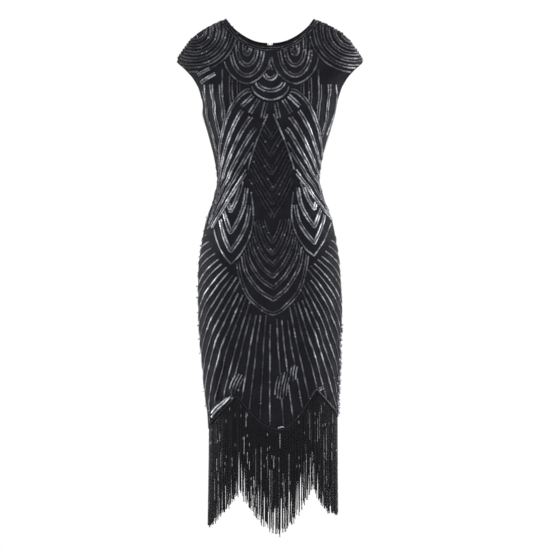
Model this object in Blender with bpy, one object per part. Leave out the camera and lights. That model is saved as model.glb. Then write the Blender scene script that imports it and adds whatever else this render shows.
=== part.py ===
# Tassel dress of beaded black net: round neck, cap sleeves, centre back zip, scalloped hem and a long fringe.
# It is filled out as when worn, and hollow. Metres, +Z up. The front faces -Y and the wearer's left is +X.
# The origin lies midway between the two neck points, where the shoulders carry the dress.
import math
from collections import namedtuple

import bmesh
import bpy
import numpy as np
from mathutils import Matrix, Vector

# Cloth
CLOTH = 0.0016  # wall of the beaded net
SEAM_GAP = 0.0003  # between two pieces at a seam
ROUNDNESS = 2.2  # exponent of each section, where 2 is an ellipse and more is squarer

# Heights of the named levels below the neck points
UNDERARM = -0.182
HIP = -0.655
SHOULDER_TIP = -0.034  # where the shoulder seam meets the armhole seam
SLEEVE_TIP = -0.099  # the lowest point of the sleeve's outer edge on the shoulder line

# Neck
NECK_HALF = 0.098  # half the width between the neck points
FRONT_NECK = 0.063  # drop of the front neckline
BACK_NECK = 0.050
FRONT_NECK_CURVE = 2.5  # exponent of the neckline, more is squarer
BACK_NECK_CURVE = 2.0

# A row for each level of the body: half the width at the side seams, how far the front and the back stand from
# them, and how far the middle lies to the wearer's left. Above the underarm it includes the sleeves.
Section = namedtuple("Section", "height half_width front_depth back_depth shift")
SECTIONS = [
    Section(-1.300, 0.145, 0.100, 0.100, 0.0078),
    Section(-0.940, 0.145, 0.100, 0.100, 0.0078),
    Section(-0.884, 0.147, 0.101, 0.102, 0.0056),
    Section(-0.830, 0.1515, 0.104, 0.106, 0.0034),
    Section(-0.776, 0.155, 0.107, 0.110, 0.0022),
    Section(-0.722, 0.158, 0.109, 0.113, 0.0000),
    Section(-0.655, 0.1615, 0.111, 0.116, 0.0000),
    Section(-0.560, 0.159, 0.110, 0.118, -0.0020),
    Section(-0.506, 0.152, 0.107, 0.115, -0.0020),
    Section(-0.452, 0.1415, 0.101, 0.108, -0.0020),
    Section(-0.398, 0.1225, 0.093, 0.096, -0.0024),
    Section(-0.358, 0.1150, 0.089, 0.088, -0.0036),
    Section(-0.317, 0.1210, 0.097, 0.090, -0.0040),
    Section(-0.263, 0.1350, 0.113, 0.098, -0.0034),
    Section(-0.216, 0.1485, 0.121, 0.106, -0.0020),
    Section(-0.182, 0.1530, 0.118, 0.107, 0.0000),
    Section(-0.160, 0.1690, 0.114, 0.105, 0.0000),
    Section(-0.135, 0.1930, 0.108, 0.100, 0.0000),
    Section(-0.115, 0.2060, 0.101, 0.095, 0.0000),
    Section(-0.092, 0.2080, 0.093, 0.088, 0.0000),
    Section(-0.074, 0.1985, 0.086, 0.081, 0.0000),
    Section(-0.061, 0.1890, 0.080, 0.075, 0.0000),
    Section(-0.047, 0.1790, 0.073, 0.068, 0.0000),
    Section(-0.034, 0.1650, 0.065, 0.060, 0.0000),
    Section(-0.020, 0.1420, 0.056, 0.052, 0.0000),
    Section(-0.007, 0.1160, 0.047, 0.044, 0.0000),
    Section(0.000, 0.0980, 0.042, 0.040, 0.0000),
    Section(0.010, 0.0760, 0.036, 0.036, 0.0000),
]

# Half the width between the two armhole seams, and between the two sleeve edges, seen from the front
Width = namedtuple("Width", "height half_width")
ARMHOLE_SEAM = [
    Width(UNDERARM, 0.1530),
    Width(-0.160, 0.1500),
    Width(-0.135, 0.1480),
    Width(-0.105, 0.1485),
    Width(-0.074, 0.1520),
    Width(-0.050, 0.1590),
    Width(SHOULDER_TIP, 0.1650),
]
SLEEVE_EDGE = [
    Width(UNDERARM, 0.1530),
    Width(-0.169, 0.1565),
    Width(-0.155, 0.1610),
    Width(-0.142, 0.1680),
    Width(-0.128, 0.1770),
    Width(-0.115, 0.1890),
    Width(-0.106, 0.1990),
    Width(SLEEVE_TIP, 0.2085),
]
SLEEVE_END = 0.86  # the sleeve stops this far down its seam from the shoulder to the underarm
SLEEVE_EASE = 1.1  # above 1, the free edge drops late
SLEEVE_GAP = 0.00065  # wider than the seam gap, because the faces beside the armhole seam are twisted
SLEEVE_COLUMNS = 4

# Lower edges of the cloth and of the fringe: sharp cusps between round scallops, all leaning with the hip
Scallop = namedtuple("Scallop", "cusp centre_low side_low curve")
HEM = Scallop(cusp=-0.844, centre_low=-0.926, side_low=-0.904, curve=1.7)
FRINGE = Scallop(cusp=-1.050, centre_low=-1.155, side_low=-1.124, curve=1.5)
HEM_LEAN = 0.092  # rise of the hem for each metre to the wearer's left
FRINGE_WALL = 0.0022

# Places across a panel run from -1 at one side seam to 1 at the other
RIGHT_CUSP = -0.351
LEFT_CUSP = 0.431
NECK_POINT = 0.5
COLUMN_STEP = 0.08
SKIRT_ROWS = 6
TORSO_ROWS = 12
YOKE_ROWS = 9
YOKE_EASE = 1.35  # above 1, the rows are closer near the neck
YOKE_START = -0.300  # columns lean towards their places at the neck from here up

# Zip, down the centre back
ZIP_HALF_GAP = 0.0035  # from the middle to a back panel's edge
ZIP_TOP_HALF_GAP = 0.0065  # the same at the neck edge, where the panels spread
ZIP_STEPS = 9  # rows of the torso that it reaches below the underarm
TAPE_HALF = 0.012
TAPE_WALL = 0.0010
TAPE_GAP = 0.0003  # between the tape and the panels' inner face
CHAIN_HALF = 0.0020
CHAIN_PROUD = 0.0005  # of the cloth's outer face
SLIDER_HEIGHT = -0.071
SLIDER_SIZE = (0.0080, 0.0110, 0.0022)  # across, along and thick
SLIDER_LIFT = 0.0008  # from the cloth's outer face to the slider
EAR_WALL = 0.0010
EAR_ROUND = 0.0018
PIN_LIFT = 0.0050  # from the cloth's outer face to the pin
PIN_RADIUS = 0.0006
TAB_EYE = 0.0016  # outer radius of the pull tab's eye
TAB_CLEARANCE = 0.0003
TAB_SIZE = (0.0052, 0.0220, 0.0011)  # across, long and thick
ROUND_SIDES = 16

for thing in list(bpy.data.objects):
    bpy.data.objects.remove(thing)


class Profile:
    """A smooth curve through a table's rows that never swings past them."""

    def __init__(self, rows, column):
        rows = sorted(rows, key=lambda row: row.height)
        self.heights = np.array([row.height for row in rows])
        self.values = np.array([getattr(row, column) for row in rows])
        steps = np.diff(self.heights)
        rises = np.diff(self.values) / steps
        slopes = np.zeros(len(rows))
        slopes[0], slopes[-1] = rises[0], rises[-1]
        for i in range(1, len(rows) - 1):
            before, after = rises[i - 1], rises[i]
            if before * after > 0:
                near, far = 2 * steps[i] + steps[i - 1], steps[i] + 2 * steps[i - 1]
                slopes[i] = (near + far) / (near / before + far / after)
        self.slopes = slopes

    def at(self, height):
        height = min(max(height, self.heights[0]), self.heights[-1])
        i = int(np.clip(np.searchsorted(self.heights, height) - 1, 0, len(self.heights) - 2))
        step = self.heights[i + 1] - self.heights[i]
        t = (height - self.heights[i]) / step
        start, end = self.values[i : i + 2]
        leave, arrive = self.slopes[i : i + 2] * step
        return (
            start * (1 + 2 * t) * (1 - t) ** 2
            + leave * t * (1 - t) ** 2
            + end * t * t * (3 - 2 * t)
            + arrive * t * t * (t - 1)
        )


half_width = Profile(SECTIONS, "half_width")
front_depth = Profile(SECTIONS, "front_depth")
back_depth = Profile(SECTIONS, "back_depth")
shift = Profile(SECTIONS, "shift")
armhole_seam = Profile(ARMHOLE_SEAM, "half_width")
sleeve_edge = Profile(SLEEVE_EDGE, "half_width")


def depth_at(height, side):
    return (front_depth if side < 0 else back_depth).at(height)


def skin_point(across, height, side):
    """The outer face of the cloth at a distance across from the middle. Side is -1 in front and 1 behind."""
    share = min(abs(across) / half_width.at(height), 1.0)
    out = depth_at(height, side) * (1 - share**ROUNDNESS) ** (1 / ROUNDNESS)
    return np.array([shift.at(height) + across, side * out, height])


def skin_normal(point, side):
    """The outward direction of that face."""

    def size(height):
        wide = abs(point[0] - shift.at(height)) / half_width.at(height)
        deep = abs(point[1]) / depth_at(height, side)
        return wide**ROUNDNESS + deep**ROUNDNESS

    height, small = point[2], 1e-4
    across = point[0] - shift.at(height)
    power = ROUNDNESS - 1
    wide = half_width.at(height)
    deep = depth_at(height, side)
    normal = np.array(
        [
            ROUNDNESS * abs(across / wide) ** power / wide * np.sign(across),
            ROUNDNESS * abs(point[1] / deep) ** power / deep * side,
            (size(height + small) - size(height - small)) / (2 * small),
        ]
    )
    return normal / np.linalg.norm(normal)


def ridge_height(across):
    """The height at which the shoulder line is this far from the middle."""
    low, high = SLEEVE_TIP, 0.0
    for _ in range(40):
        middle = (low + high) / 2
        if half_width.at(middle) > across:
            low = middle
        else:
            high = middle
    return (low + high) / 2


def panel_edge(height):
    """Half the width of a panel: to the side seam, then the armhole seam, then the shoulder line."""
    if height < UNDERARM or height > SHOULDER_TIP:
        return half_width.at(height)
    return armhole_seam.at(height)


def lower_edge(scallop, u):
    """The height of the hem or of the fringe's end at a place across a panel."""
    middle = (LEFT_CUSP + RIGHT_CUSP) / 2
    half = (LEFT_CUSP - RIGHT_CUSP) / 2
    if RIGHT_CUSP <= u <= LEFT_CUSP:
        low, share = scallop.centre_low, abs(u - middle) / half
    elif u > LEFT_CUSP:
        low, share = scallop.side_low, (1 - u) / (1 - LEFT_CUSP)
    else:
        low, share = scallop.side_low, (1 + u) / (1 + RIGHT_CUSP)
    lean = HEM_LEAN * half_width.at(scallop.cusp) * math.sin(math.radians(90 * u))
    return low + (scallop.cusp - low) * share**scallop.curve + lean


def top_edge(u, side):
    """The distance across and the height of a panel's upper edge: neckline, then shoulder seam."""
    place = abs(u)
    if place <= NECK_POINT:
        across = NECK_HALF * math.sin(math.radians(90 * place / NECK_POINT))
        drop, curve = (FRONT_NECK, FRONT_NECK_CURVE) if side < 0 else (BACK_NECK, BACK_NECK_CURVE)
        return across, -drop * (1 - (across / NECK_HALF) ** curve)
    share = (place - NECK_POINT) / (1 - NECK_POINT)
    across = NECK_HALF + (armhole_seam.at(SHOULDER_TIP) - NECK_HALF) * share
    return across, ridge_height(across)


def zip_edge(height, neckline):
    """Half the space between the two back panels."""
    if height > neckline - 1e-6:
        return ZIP_TOP_HALF_GAP
    end = UNDERARM + (HIP - UNDERARM) * ZIP_STEPS / TORSO_ROWS
    return ZIP_HALF_GAP if height > end - 1e-6 else SEAM_GAP / 2


def row_heights(u, side):
    """The heights of a column's points, from the hem through the hip and the underarm to its upper edge."""
    hem, top = lower_edge(HEM, u), top_edge(u, side)[1]
    skirt = [hem + (HIP - hem) * i / SKIRT_ROWS for i in range(SKIRT_ROWS)]
    torso = [HIP + (UNDERARM - HIP) * i / TORSO_ROWS for i in range(TORSO_ROWS)]
    yoke = [
        UNDERARM + (top - UNDERARM) * (1 - (1 - i / YOKE_ROWS) ** YOKE_EASE) for i in range(YOKE_ROWS + 1)
    ]
    return skirt + torso + yoke


def columns(*breaks):
    """Places across a panel, with each named one among them."""
    places = [breaks[0]]
    for start, end in zip(breaks, breaks[1:]):
        count = math.ceil((end - start) / COLUMN_STEP - 1e-6)
        places += [start + (end - start) * i / count for i in range(1, count)] + [end]
    return places


def panel_column(u, side, split):
    """One column's points on the outer face. A split panel starts beside the zip."""
    turn = math.sin(math.radians(90 * abs(u))) ** (2 / ROUNDNESS)
    top_across, top_height = top_edge(u, side)
    top_share = top_across / panel_edge(top_height)
    sign = -1 if u < 0 or split < 0 else 1
    points = []
    for height in row_heights(u, side):
        lean = max(0.0, (height - YOKE_START) / (top_height - YOKE_START)) ** 1.5
        share = turn + (top_share - turn) * lean
        start = zip_edge(height, top_edge(0, side)[1]) if split else 0.0
        across = start + (panel_edge(height) - start) * share
        point = skin_point(sign * across, height, side)
        point[1] += side * SEAM_GAP / 2
        points.append(point)
    return points


def wall(points, side, thickness):
    """The inner face: the points moved in along the skin's own normal."""
    gap = np.array([0, side * SEAM_GAP / 2, 0])
    return [[p - thickness * skin_normal(p - gap, side) for p in column] for column in points]


def finish_object(mesh, name, material):
    thing = bpy.data.objects.new(name, mesh)
    bpy.context.scene.collection.objects.link(thing)
    mesh.materials.append(material)
    return thing


def solid_from_loops(name, loops, material):
    """A closed solid from a row of closed loops, each joined to the next, with the first and last filled."""
    form = bmesh.new()
    rings = [[form.verts.new(Vector(p)) for p in loop] for loop in loops]
    for ring, following in zip(rings, rings[1:]):
        for i, start in enumerate(ring):
            j = (i + 1) % len(ring)
            form.faces.new((start, ring[j], following[j], following[i]))
    form.faces.new(rings[0])
    form.faces.new(list(reversed(rings[-1])))
    form.normal_update()  # the ends are concave, so they need their normals to be filled rightly
    bmesh.ops.triangulate(form, faces=[face for face in form.faces if len(face.verts) > 4])
    return finish_form(form, name, material)


def solid_from_faces(name, outer, inner, material):
    """A closed wall between two grids of points, each a list of columns."""
    form = bmesh.new()
    out = [[form.verts.new(Vector(p)) for p in column] for column in outer]
    back = [[form.verts.new(Vector(p)) for p in column] for column in inner]
    last, top = len(out) - 1, len(out[0]) - 1
    for i in range(last):
        for j in range(top):
            form.faces.new((out[i][j], out[i + 1][j], out[i + 1][j + 1], out[i][j + 1]))
            form.faces.new((back[i][j], back[i][j + 1], back[i + 1][j + 1], back[i + 1][j]))
    for j in range(top):
        form.faces.new((out[0][j], out[0][j + 1], back[0][j + 1], back[0][j]))
        form.faces.new((out[last][j + 1], out[last][j], back[last][j], back[last][j + 1]))
    for i in range(last):
        form.faces.new((out[i + 1][0], out[i][0], back[i][0], back[i + 1][0]))
        form.faces.new((out[i][top], out[i + 1][top], back[i + 1][top], back[i][top]))
    return finish_form(form, name, material)


def finish_form(form, name, material):
    bmesh.ops.recalc_face_normals(form, faces=form.faces)
    mesh = bpy.data.meshes.new(name)
    form.to_mesh(mesh)
    form.free()
    mesh.shade_smooth()
    mesh.set_sharp_from_angle(angle=math.radians(40))
    return finish_object(mesh, name, material)


def material(name, colour, roughness, metallic=0.0):
    made = bpy.data.materials.new(name)
    made.use_nodes = True
    shader = made.node_tree.nodes["Principled BSDF"]
    shader.inputs["Base Color"].default_value = (*colour, 1)
    shader.inputs["Roughness"].default_value = roughness
    shader.inputs["Metallic"].default_value = metallic
    return made


beaded_net = material("beaded_net", (0.020, 0.020, 0.024), 0.55)
bead_thread = material("bead_thread", (0.012, 0.012, 0.014), 0.40)
woven_tape = material("woven_tape", (0.015, 0.015, 0.017), 0.80)
dark_metal = material("dark_metal", (0.09, 0.09, 0.10), 0.35, 1.0)


def make_panel(name, places, side, split=0):
    outer = [panel_column(u, side, split) for u in places]
    inner = wall(outer, side, CLOTH)
    solid_from_faces(name, outer, inner, beaded_net)
    return outer, inner


def sleeve_stations(sign):
    """Where the sleeve's seam and free edge lie, going up the front, over the shoulder and down the back."""
    front, back = [], []
    for height in row_heights(1.0, -1)[-YOKE_ROWS - 1 :]:
        down = max(0.0, 1 - (height - UNDERARM) / (SHOULDER_TIP - UNDERARM))
        if down > SLEEVE_END:
            continue
        edge_height = SLEEVE_TIP + (UNDERARM - SLEEVE_TIP) * down**SLEEVE_EASE
        seam_share = min(1.0, armhole_seam.at(height) / half_width.at(height))
        edge_share = min(1.0, sleeve_edge.at(edge_height) / half_width.at(edge_height))
        for side, stations in ((-1, front), (1, back)):
            seam = skin_point(sign * seam_share * half_width.at(height), height, side)
            edge = skin_point(sign * edge_share * half_width.at(edge_height), edge_height, side)
            stations.append((side, (seam_share, height), (edge_share, edge_height), seam, edge))
    return front + back[-2::-1]


def make_sleeve(name, sign):
    """The cap sleeve: from the panels' armhole seams out to its own free edge, over the shoulder line."""
    stations = sleeve_stations(sign)
    outer, inner = [], []
    for i, (side, seam_place, edge_place, seam, edge) in enumerate(stations):
        along = stations[min(i + 1, len(stations) - 1)][3] - stations[max(i - 1, 0)][3]
        along /= np.linalg.norm(along)
        out = edge - seam
        wide = np.linalg.norm(out - along * out.dot(along))
        first = SLEEVE_GAP / wide
        points = []
        for j in range(SLEEVE_COLUMNS + 1):
            t = first + (1 - first) * j / SLEEVE_COLUMNS
            share, height = ((1 - t) * seam_place[k] + t * edge_place[k] for k in range(2))
            points.append(skin_point(sign * share * half_width.at(height), height, side))
        outer.append(points)
        inner.append([point - CLOTH * skin_normal(point, side) for point in points])
    solid_from_faces(name, outer, inner, beaded_net)


def make_fringe(name, outer, places):
    """The plain reach of the fringe: it hangs straight down from the hem's own points."""
    faces, backs = [], []
    for column, u in zip(outer, places):
        top = column[0] - np.array([0, 0, 1.6 * SEAM_GAP])
        side = np.sign(top[1])
        flat = skin_normal(np.array([top[0], top[1] - side * SEAM_GAP / 2, lower_edge(FRINGE, u)]), side)
        end = np.array([top[0], top[1], lower_edge(FRINGE, u)])
        run = [end, (top + end) / 2, top]
        faces.append(run)
        backs.append([p - FRINGE_WALL * flat for p in run])
    solid_from_faces(name, faces, backs, bead_thread)


def make_zip(left_outer, left_inner, right_inner):
    """The zip's two tapes and its chain in one piece, behind the two back panels and up between their edges."""
    first = SKIRT_ROWS + TORSO_ROWS - ZIP_STEPS
    last = SKIRT_ROWS + TORSO_ROWS + YOKE_ROWS - 1
    loops = []
    for row in range(first, last + 1):
        edge, beyond = left_inner[0][row], left_inner[1][row]
        other, other_beyond = right_inner[-1][row], right_inner[-2][row]
        skin = left_outer[0][row]
        normal = skin_normal(skin_point(0.0, skin[2], 1), 1)
        middle = skin_point(0.0, skin[2], 1)
        reach = (TAPE_HALF - ZIP_HALF_GAP) / np.linalg.norm(beyond - edge)
        left_side = edge + (beyond - edge) * reach
        reach = (TAPE_HALF - ZIP_HALF_GAP) / np.linalg.norm(other_beyond - other)
        right_side = other + (other_beyond - other) * reach
        foot = (edge + other) / 2
        across = Vector((1, 0, 0))
        sunk = -TAPE_GAP * normal
        deep = -(TAPE_GAP + TAPE_WALL) * normal
        crown = middle + CHAIN_PROUD * normal
        step = CHAIN_HALF * np.array(across)
        loops.append(
            [
                right_side + sunk,
                foot - step + sunk,
                crown - step,
                crown + step,
                foot + step + sunk,
                left_side + sunk,
                left_side + deep,
                foot + deep,
                right_side + deep,
            ]
        )
    solid_from_loops("zip_tape", loops, woven_tape)


def make_box(name, low, high, material_used, bevel):
    low, high = Vector(low), Vector(high)
    form = bmesh.new()
    bmesh.ops.create_cube(form, size=1)
    for vertex in form.verts:
        vertex.co = Vector((low[i] + (high[i] - low[i]) * (vertex.co[i] + 0.5) for i in range(3)))
    if bevel:
        bmesh.ops.bevel(
            form, geom=form.edges[:], offset=bevel, segments=2, profile=0.5, affect="EDGES", clamp_overlap=True
        )
    return finish_form(form, name, material_used)


def make_rod(name, radius, half_length, at, material_used):
    """A round bar along X."""
    form = bmesh.new()
    bmesh.ops.create_cone(
        form,
        cap_ends=True,
        segments=ROUND_SIDES,
        radius1=radius,
        radius2=radius,
        depth=2 * half_length,
        matrix=Matrix.Translation(at) @ Matrix.Rotation(math.radians(90), 4, "Y"),
    )
    return finish_form(form, name, material_used)


def combine(target, tool, operation):
    """Joins the tool to the target, or cuts it out, and then removes the tool."""
    boolean = target.modifiers.new(operation.lower(), "BOOLEAN")
    boolean.operation = operation
    boolean.object = tool
    graph = bpy.context.evaluated_depsgraph_get()
    mesh = bpy.data.meshes.new_from_object(target.evaluated_get(graph))
    target.modifiers.clear()
    target.data = mesh
    bpy.data.objects.remove(tool)


def make_slider_and_tab():
    """The slider over the chain, with a pin between two ears, and the pull tab that hangs from the pin."""
    seat = skin_point(0.0, SLIDER_HEIGHT, 1)
    out = Vector(skin_normal(seat, 1))
    across = Vector((1, 0, 0))
    up = across.cross(out).normalized()
    turn = Matrix((across, out, up)).transposed().to_4x4()
    place = Matrix.Translation(Vector(seat)) @ turn
    wide, long, thick = SLIDER_SIZE
    low, high = SLIDER_LIFT, SLIDER_LIFT + thick
    slider = make_box("zip_slider", (-wide / 2, low, -long / 2), (wide / 2, high, long / 2), dark_metal, 0.0006)
    eye_half = TAB_SIZE[0] / 2 - EAR_WALL - TAB_CLEARANCE
    for sign in (-1, 1):
        near, far = sign * (eye_half + TAB_CLEARANCE), sign * (eye_half + TAB_CLEARANCE + EAR_WALL)
        ear = make_box(
            "ear", (min(near, far), high - 0.0004, -EAR_ROUND), (max(near, far), PIN_LIFT + 0.0011, EAR_ROUND),
            dark_metal, 0.0003,
        )
        combine(slider, ear, "UNION")
    pin = make_rod("pin", PIN_RADIUS, eye_half + TAB_CLEARANCE + EAR_WALL / 2, (0, PIN_LIFT, 0), dark_metal)
    combine(slider, pin, "UNION")
    slider.matrix_world = place

    hinge = bpy.data.objects.new("pull_hinge", None)
    bpy.context.scene.collection.objects.link(hinge)
    hinge.matrix_world = place @ Matrix.Translation((0, PIN_LIFT, 0))
    tab = make_rod("zip_pull_tab", TAB_EYE, eye_half, (0, 0, 0), dark_metal)
    tab_wide, tab_long, tab_thick = TAB_SIZE
    start = -(TAB_EYE - 0.0004)
    neck = make_box("neck", (-eye_half, -tab_thick / 2, -0.0060), (eye_half, tab_thick / 2, start), dark_metal, 0)
    plate = make_box(
        "plate", (-tab_wide / 2, -tab_thick / 2, -tab_long), (tab_wide / 2, tab_thick / 2, -0.0052), dark_metal, 0.0004
    )
    combine(tab, neck, "UNION")
    combine(tab, plate, "UNION")
    bore = make_rod("bore", PIN_RADIUS + TAB_CLEARANCE, 2 * eye_half, (0, 0, 0), dark_metal)
    combine(tab, bore, "DIFFERENCE")
    window = make_rod("window", 0.0013, tab_wide, (0, 0, 0), dark_metal)
    window.data.transform(Matrix.Translation((0, 0, 0.0035 - tab_long)) @ Matrix.Rotation(math.radians(90), 4, "Z"))
    combine(tab, window, "DIFFERENCE")
    tab.parent = hinge
    print("pull hinge at", tuple(round(v, 5) for v in hinge.matrix_world.translation))


def make_dress():
    middle = (LEFT_CUSP + RIGHT_CUSP) / 2
    across = columns(-1, -NECK_POINT, RIGHT_CUSP, middle, LEFT_CUSP, NECK_POINT, 1)
    left = columns(0, middle, LEFT_CUSP, NECK_POINT, 1)
    right = columns(-1, -NECK_POINT, RIGHT_CUSP, -middle, 0)
    front_outer, _ = make_panel("front", across, -1)
    left_outer, left_inner = make_panel("back_left", left, 1, split=1)
    right_outer, right_inner = make_panel("back_right", right, 1, split=-1)
    make_sleeve("cap_sleeve_left", 1)
    make_sleeve("cap_sleeve_right", -1)
    make_fringe("fringe_front", front_outer, across)
    make_fringe("fringe_back", right_outer + left_outer[1:], right + left[1:])
    make_zip(left_outer, left_inner, right_inner)
    make_slider_and_tab()


make_dress()
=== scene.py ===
# Tassel dress of beaded black net: folds, sequin rows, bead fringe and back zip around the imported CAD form.
# Metres, +Z up. The front faces -Y and the wearer's left is +X. Side is -1 in front and 1 behind.
import itertools
import math

import bmesh
import bpy
import numpy as np
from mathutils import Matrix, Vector


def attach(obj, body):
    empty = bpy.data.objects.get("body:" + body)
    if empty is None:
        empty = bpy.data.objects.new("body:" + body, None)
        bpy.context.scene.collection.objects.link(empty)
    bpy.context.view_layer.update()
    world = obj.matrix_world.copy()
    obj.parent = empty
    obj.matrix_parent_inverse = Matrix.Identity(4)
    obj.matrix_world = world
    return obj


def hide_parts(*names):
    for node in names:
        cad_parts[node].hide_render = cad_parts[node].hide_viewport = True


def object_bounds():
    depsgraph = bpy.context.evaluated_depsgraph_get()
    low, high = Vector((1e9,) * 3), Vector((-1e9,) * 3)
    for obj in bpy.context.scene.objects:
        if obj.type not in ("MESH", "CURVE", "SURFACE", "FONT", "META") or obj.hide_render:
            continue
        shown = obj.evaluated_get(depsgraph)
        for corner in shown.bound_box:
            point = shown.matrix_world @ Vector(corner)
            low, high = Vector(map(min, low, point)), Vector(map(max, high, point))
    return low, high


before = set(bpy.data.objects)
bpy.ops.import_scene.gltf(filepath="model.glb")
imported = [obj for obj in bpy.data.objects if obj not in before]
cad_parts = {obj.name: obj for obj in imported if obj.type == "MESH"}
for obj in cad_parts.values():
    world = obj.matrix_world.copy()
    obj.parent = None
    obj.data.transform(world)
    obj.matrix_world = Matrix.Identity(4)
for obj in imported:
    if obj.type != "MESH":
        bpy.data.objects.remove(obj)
cadLow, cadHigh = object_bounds()
scene = bpy.context.scene
chance = np.random.default_rng(1926)

# The CAD's own sections: height, half width, front depth, back depth, shift to the wearer's left
bodyRows = np.array([
    (-1.300, 0.1450, 0.100, 0.100, 0.0078),
    (-0.940, 0.1450, 0.100, 0.100, 0.0078),
    (-0.884, 0.1470, 0.101, 0.102, 0.0056),
    (-0.830, 0.1515, 0.104, 0.106, 0.0034),
    (-0.776, 0.1550, 0.107, 0.110, 0.0022),
    (-0.722, 0.1580, 0.109, 0.113, 0.0000),
    (-0.655, 0.1615, 0.111, 0.116, 0.0000),
    (-0.560, 0.1590, 0.110, 0.118, -0.0020),
    (-0.506, 0.1520, 0.107, 0.115, -0.0020),
    (-0.452, 0.1415, 0.101, 0.108, -0.0020),
    (-0.398, 0.1225, 0.093, 0.096, -0.0024),
    (-0.358, 0.1150, 0.089, 0.088, -0.0036),
    (-0.317, 0.1210, 0.097, 0.090, -0.0040),
    (-0.263, 0.1350, 0.113, 0.098, -0.0034),
    (-0.216, 0.1485, 0.121, 0.106, -0.0020),
    (-0.182, 0.1530, 0.118, 0.107, 0.0000),
    (-0.160, 0.1690, 0.114, 0.105, 0.0000),
    (-0.135, 0.1930, 0.108, 0.100, 0.0000),
    (-0.115, 0.2060, 0.101, 0.095, 0.0000),
    (-0.092, 0.2080, 0.093, 0.088, 0.0000),
    (-0.074, 0.1985, 0.086, 0.081, 0.0000),
    (-0.061, 0.1890, 0.080, 0.075, 0.0000),
    (-0.047, 0.1790, 0.073, 0.068, 0.0000),
    (-0.034, 0.1650, 0.065, 0.060, 0.0000),
    (-0.020, 0.1420, 0.056, 0.052, 0.0000),
    (-0.007, 0.1160, 0.047, 0.044, 0.0000),
    (0.000, 0.0980, 0.042, 0.040, 0.0000),
    (0.010, 0.0760, 0.036, 0.036, 0.0000),
])
# Height and half the width between the armhole seams, then between the sleeves' free edges
armholeRows = np.array([
    (-0.182, 0.1530), (-0.160, 0.1500), (-0.135, 0.1480), (-0.105, 0.1485),
    (-0.074, 0.1520), (-0.050, 0.1590), (-0.034, 0.1650),
])
sleeveEdgeRows = np.array([
    (-0.182, 0.1530), (-0.169, 0.1565), (-0.155, 0.1610), (-0.142, 0.1680),
    (-0.128, 0.1770), (-0.115, 0.1890), (-0.106, 0.1990), (-0.099, 0.2085),
])
bodyForm = {
    "roundness": 2.2,
    "cloth": 0.0016,  # wall of the net and its backing
    "seamGap": 0.0003,
    "underarm": -0.182,
    "hip": -0.655,
    "shoulderTip": -0.034,
    "sleeveTip": -0.099,
    "sleeveEnd": 0.985,  # how far down its seam the sleeve ends
    "neckHalf": 0.098,
    "neckDrop": {-1: 0.063, 1: 0.050},
    "neckCurve": {-1: 2.5, 1: 2.0},
    "hemLean": 0.092,
    "zipTop": 0.0065,
    "zipHalf": 0.0035,
    "zipEnd": -0.5368,
}
# Scalloped edges: a place across runs from -1 at the right side seam to 1 at the left one
hemShape = {
    "rightCusp": -0.322, "leftCusp": 0.431, "cusp": -0.844, "centreLow": -0.926, "sideLow": -0.910,
    "curve": 1.7, "sideCurve": 1.7, "rightBlunt": 0.0, "leftBlunt": 0.0,
}
fringeShape = {
    "rightCusp": -0.290, "leftCusp": 0.390, "cusp": -1.056, "centreLow": -1.155, "sideLow": -1.124,
    "curve": 1.5, "sideCurve": 1.7, "rightBlunt": 0.26, "leftBlunt": 0.50,
}


def smoothCurve(rows, column=1):
    heights = rows[:, 0]
    values = rows[:, column]
    steps = np.diff(heights)
    rises = np.diff(values) / steps
    slopes = np.concatenate([rises[:1], np.zeros(len(rows) - 2), rises[-1:]])
    for i in range(1, len(rows) - 1):
        before, after = rises[i - 1], rises[i]
        if before * after > 0:
            near = 2 * steps[i] + steps[i - 1]
            far = steps[i] + 2 * steps[i - 1]
            slopes[i] = (near + far) / (near / before + far / after)

    def at(height):
        height = np.clip(height, heights[0], heights[-1])
        i = np.clip(np.searchsorted(heights, height) - 1, 0, len(heights) - 2)
        t = (height - heights[i]) / steps[i]
        start = values[i] * (1 + 2 * t) * (1 - t) ** 2 + values[i + 1] * t * t * (3 - 2 * t)
        return start + steps[i] * (slopes[i] * t * (1 - t) ** 2 + slopes[i + 1] * t * t * (t - 1))

    return at


halfWidth = smoothCurve(bodyRows, 1)
frontDepth = smoothCurve(bodyRows, 2)
backDepth = smoothCurve(bodyRows, 3)
shift = smoothCurve(bodyRows, 4)
armholeSeam = smoothCurve(armholeRows)
sleeveEdge = smoothCurve(sleeveEdgeRows)
roundness = bodyForm["roundness"]
up = np.array([0.0, 0.0, 1.0])


def depthAt(height, side):
    return frontDepth(height) if side < 0 else backDepth(height)


def skinPoint(across, height, side):
    share = np.minimum(np.abs(across) / halfWidth(height), 1)
    out = depthAt(height, side) * (1 - share**roundness) ** (1 / roundness)
    return np.stack([shift(height) + across, side * out, np.broadcast_to(height, np.shape(out))], -1)


def unit(vectors):
    return vectors / np.linalg.norm(vectors, axis=-1, keepdims=True)


def skinNormal(points, side):
    height = points[..., 2]
    across = points[..., 0] - shift(height)

    def size(level):
        wide = np.abs(points[..., 0] - shift(level)) / halfWidth(level)
        deep = np.abs(points[..., 1]) / depthAt(level, side)
        return wide**roundness + deep**roundness

    small = 1e-4
    wide = halfWidth(height)
    deep = depthAt(height, side)
    power = roundness - 1
    normal = np.stack([
        roundness * np.abs(across / wide) ** power / wide * np.sign(across),
        roundness * np.abs(points[..., 1] / deep) ** power / deep * side,
        (size(height + small) - size(height - small)) / (2 * small),
    ], -1)
    return unit(normal)


# A run is the length along the cloth from the middle, level, so patterns can be laid out as on flat cloth
unrolling = {"bottom": -1.3, "rows": 261, "columns": 181, "pastSeam": 1.6}
turns = np.linspace(0, math.pi / 2, unrolling["columns"])


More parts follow.
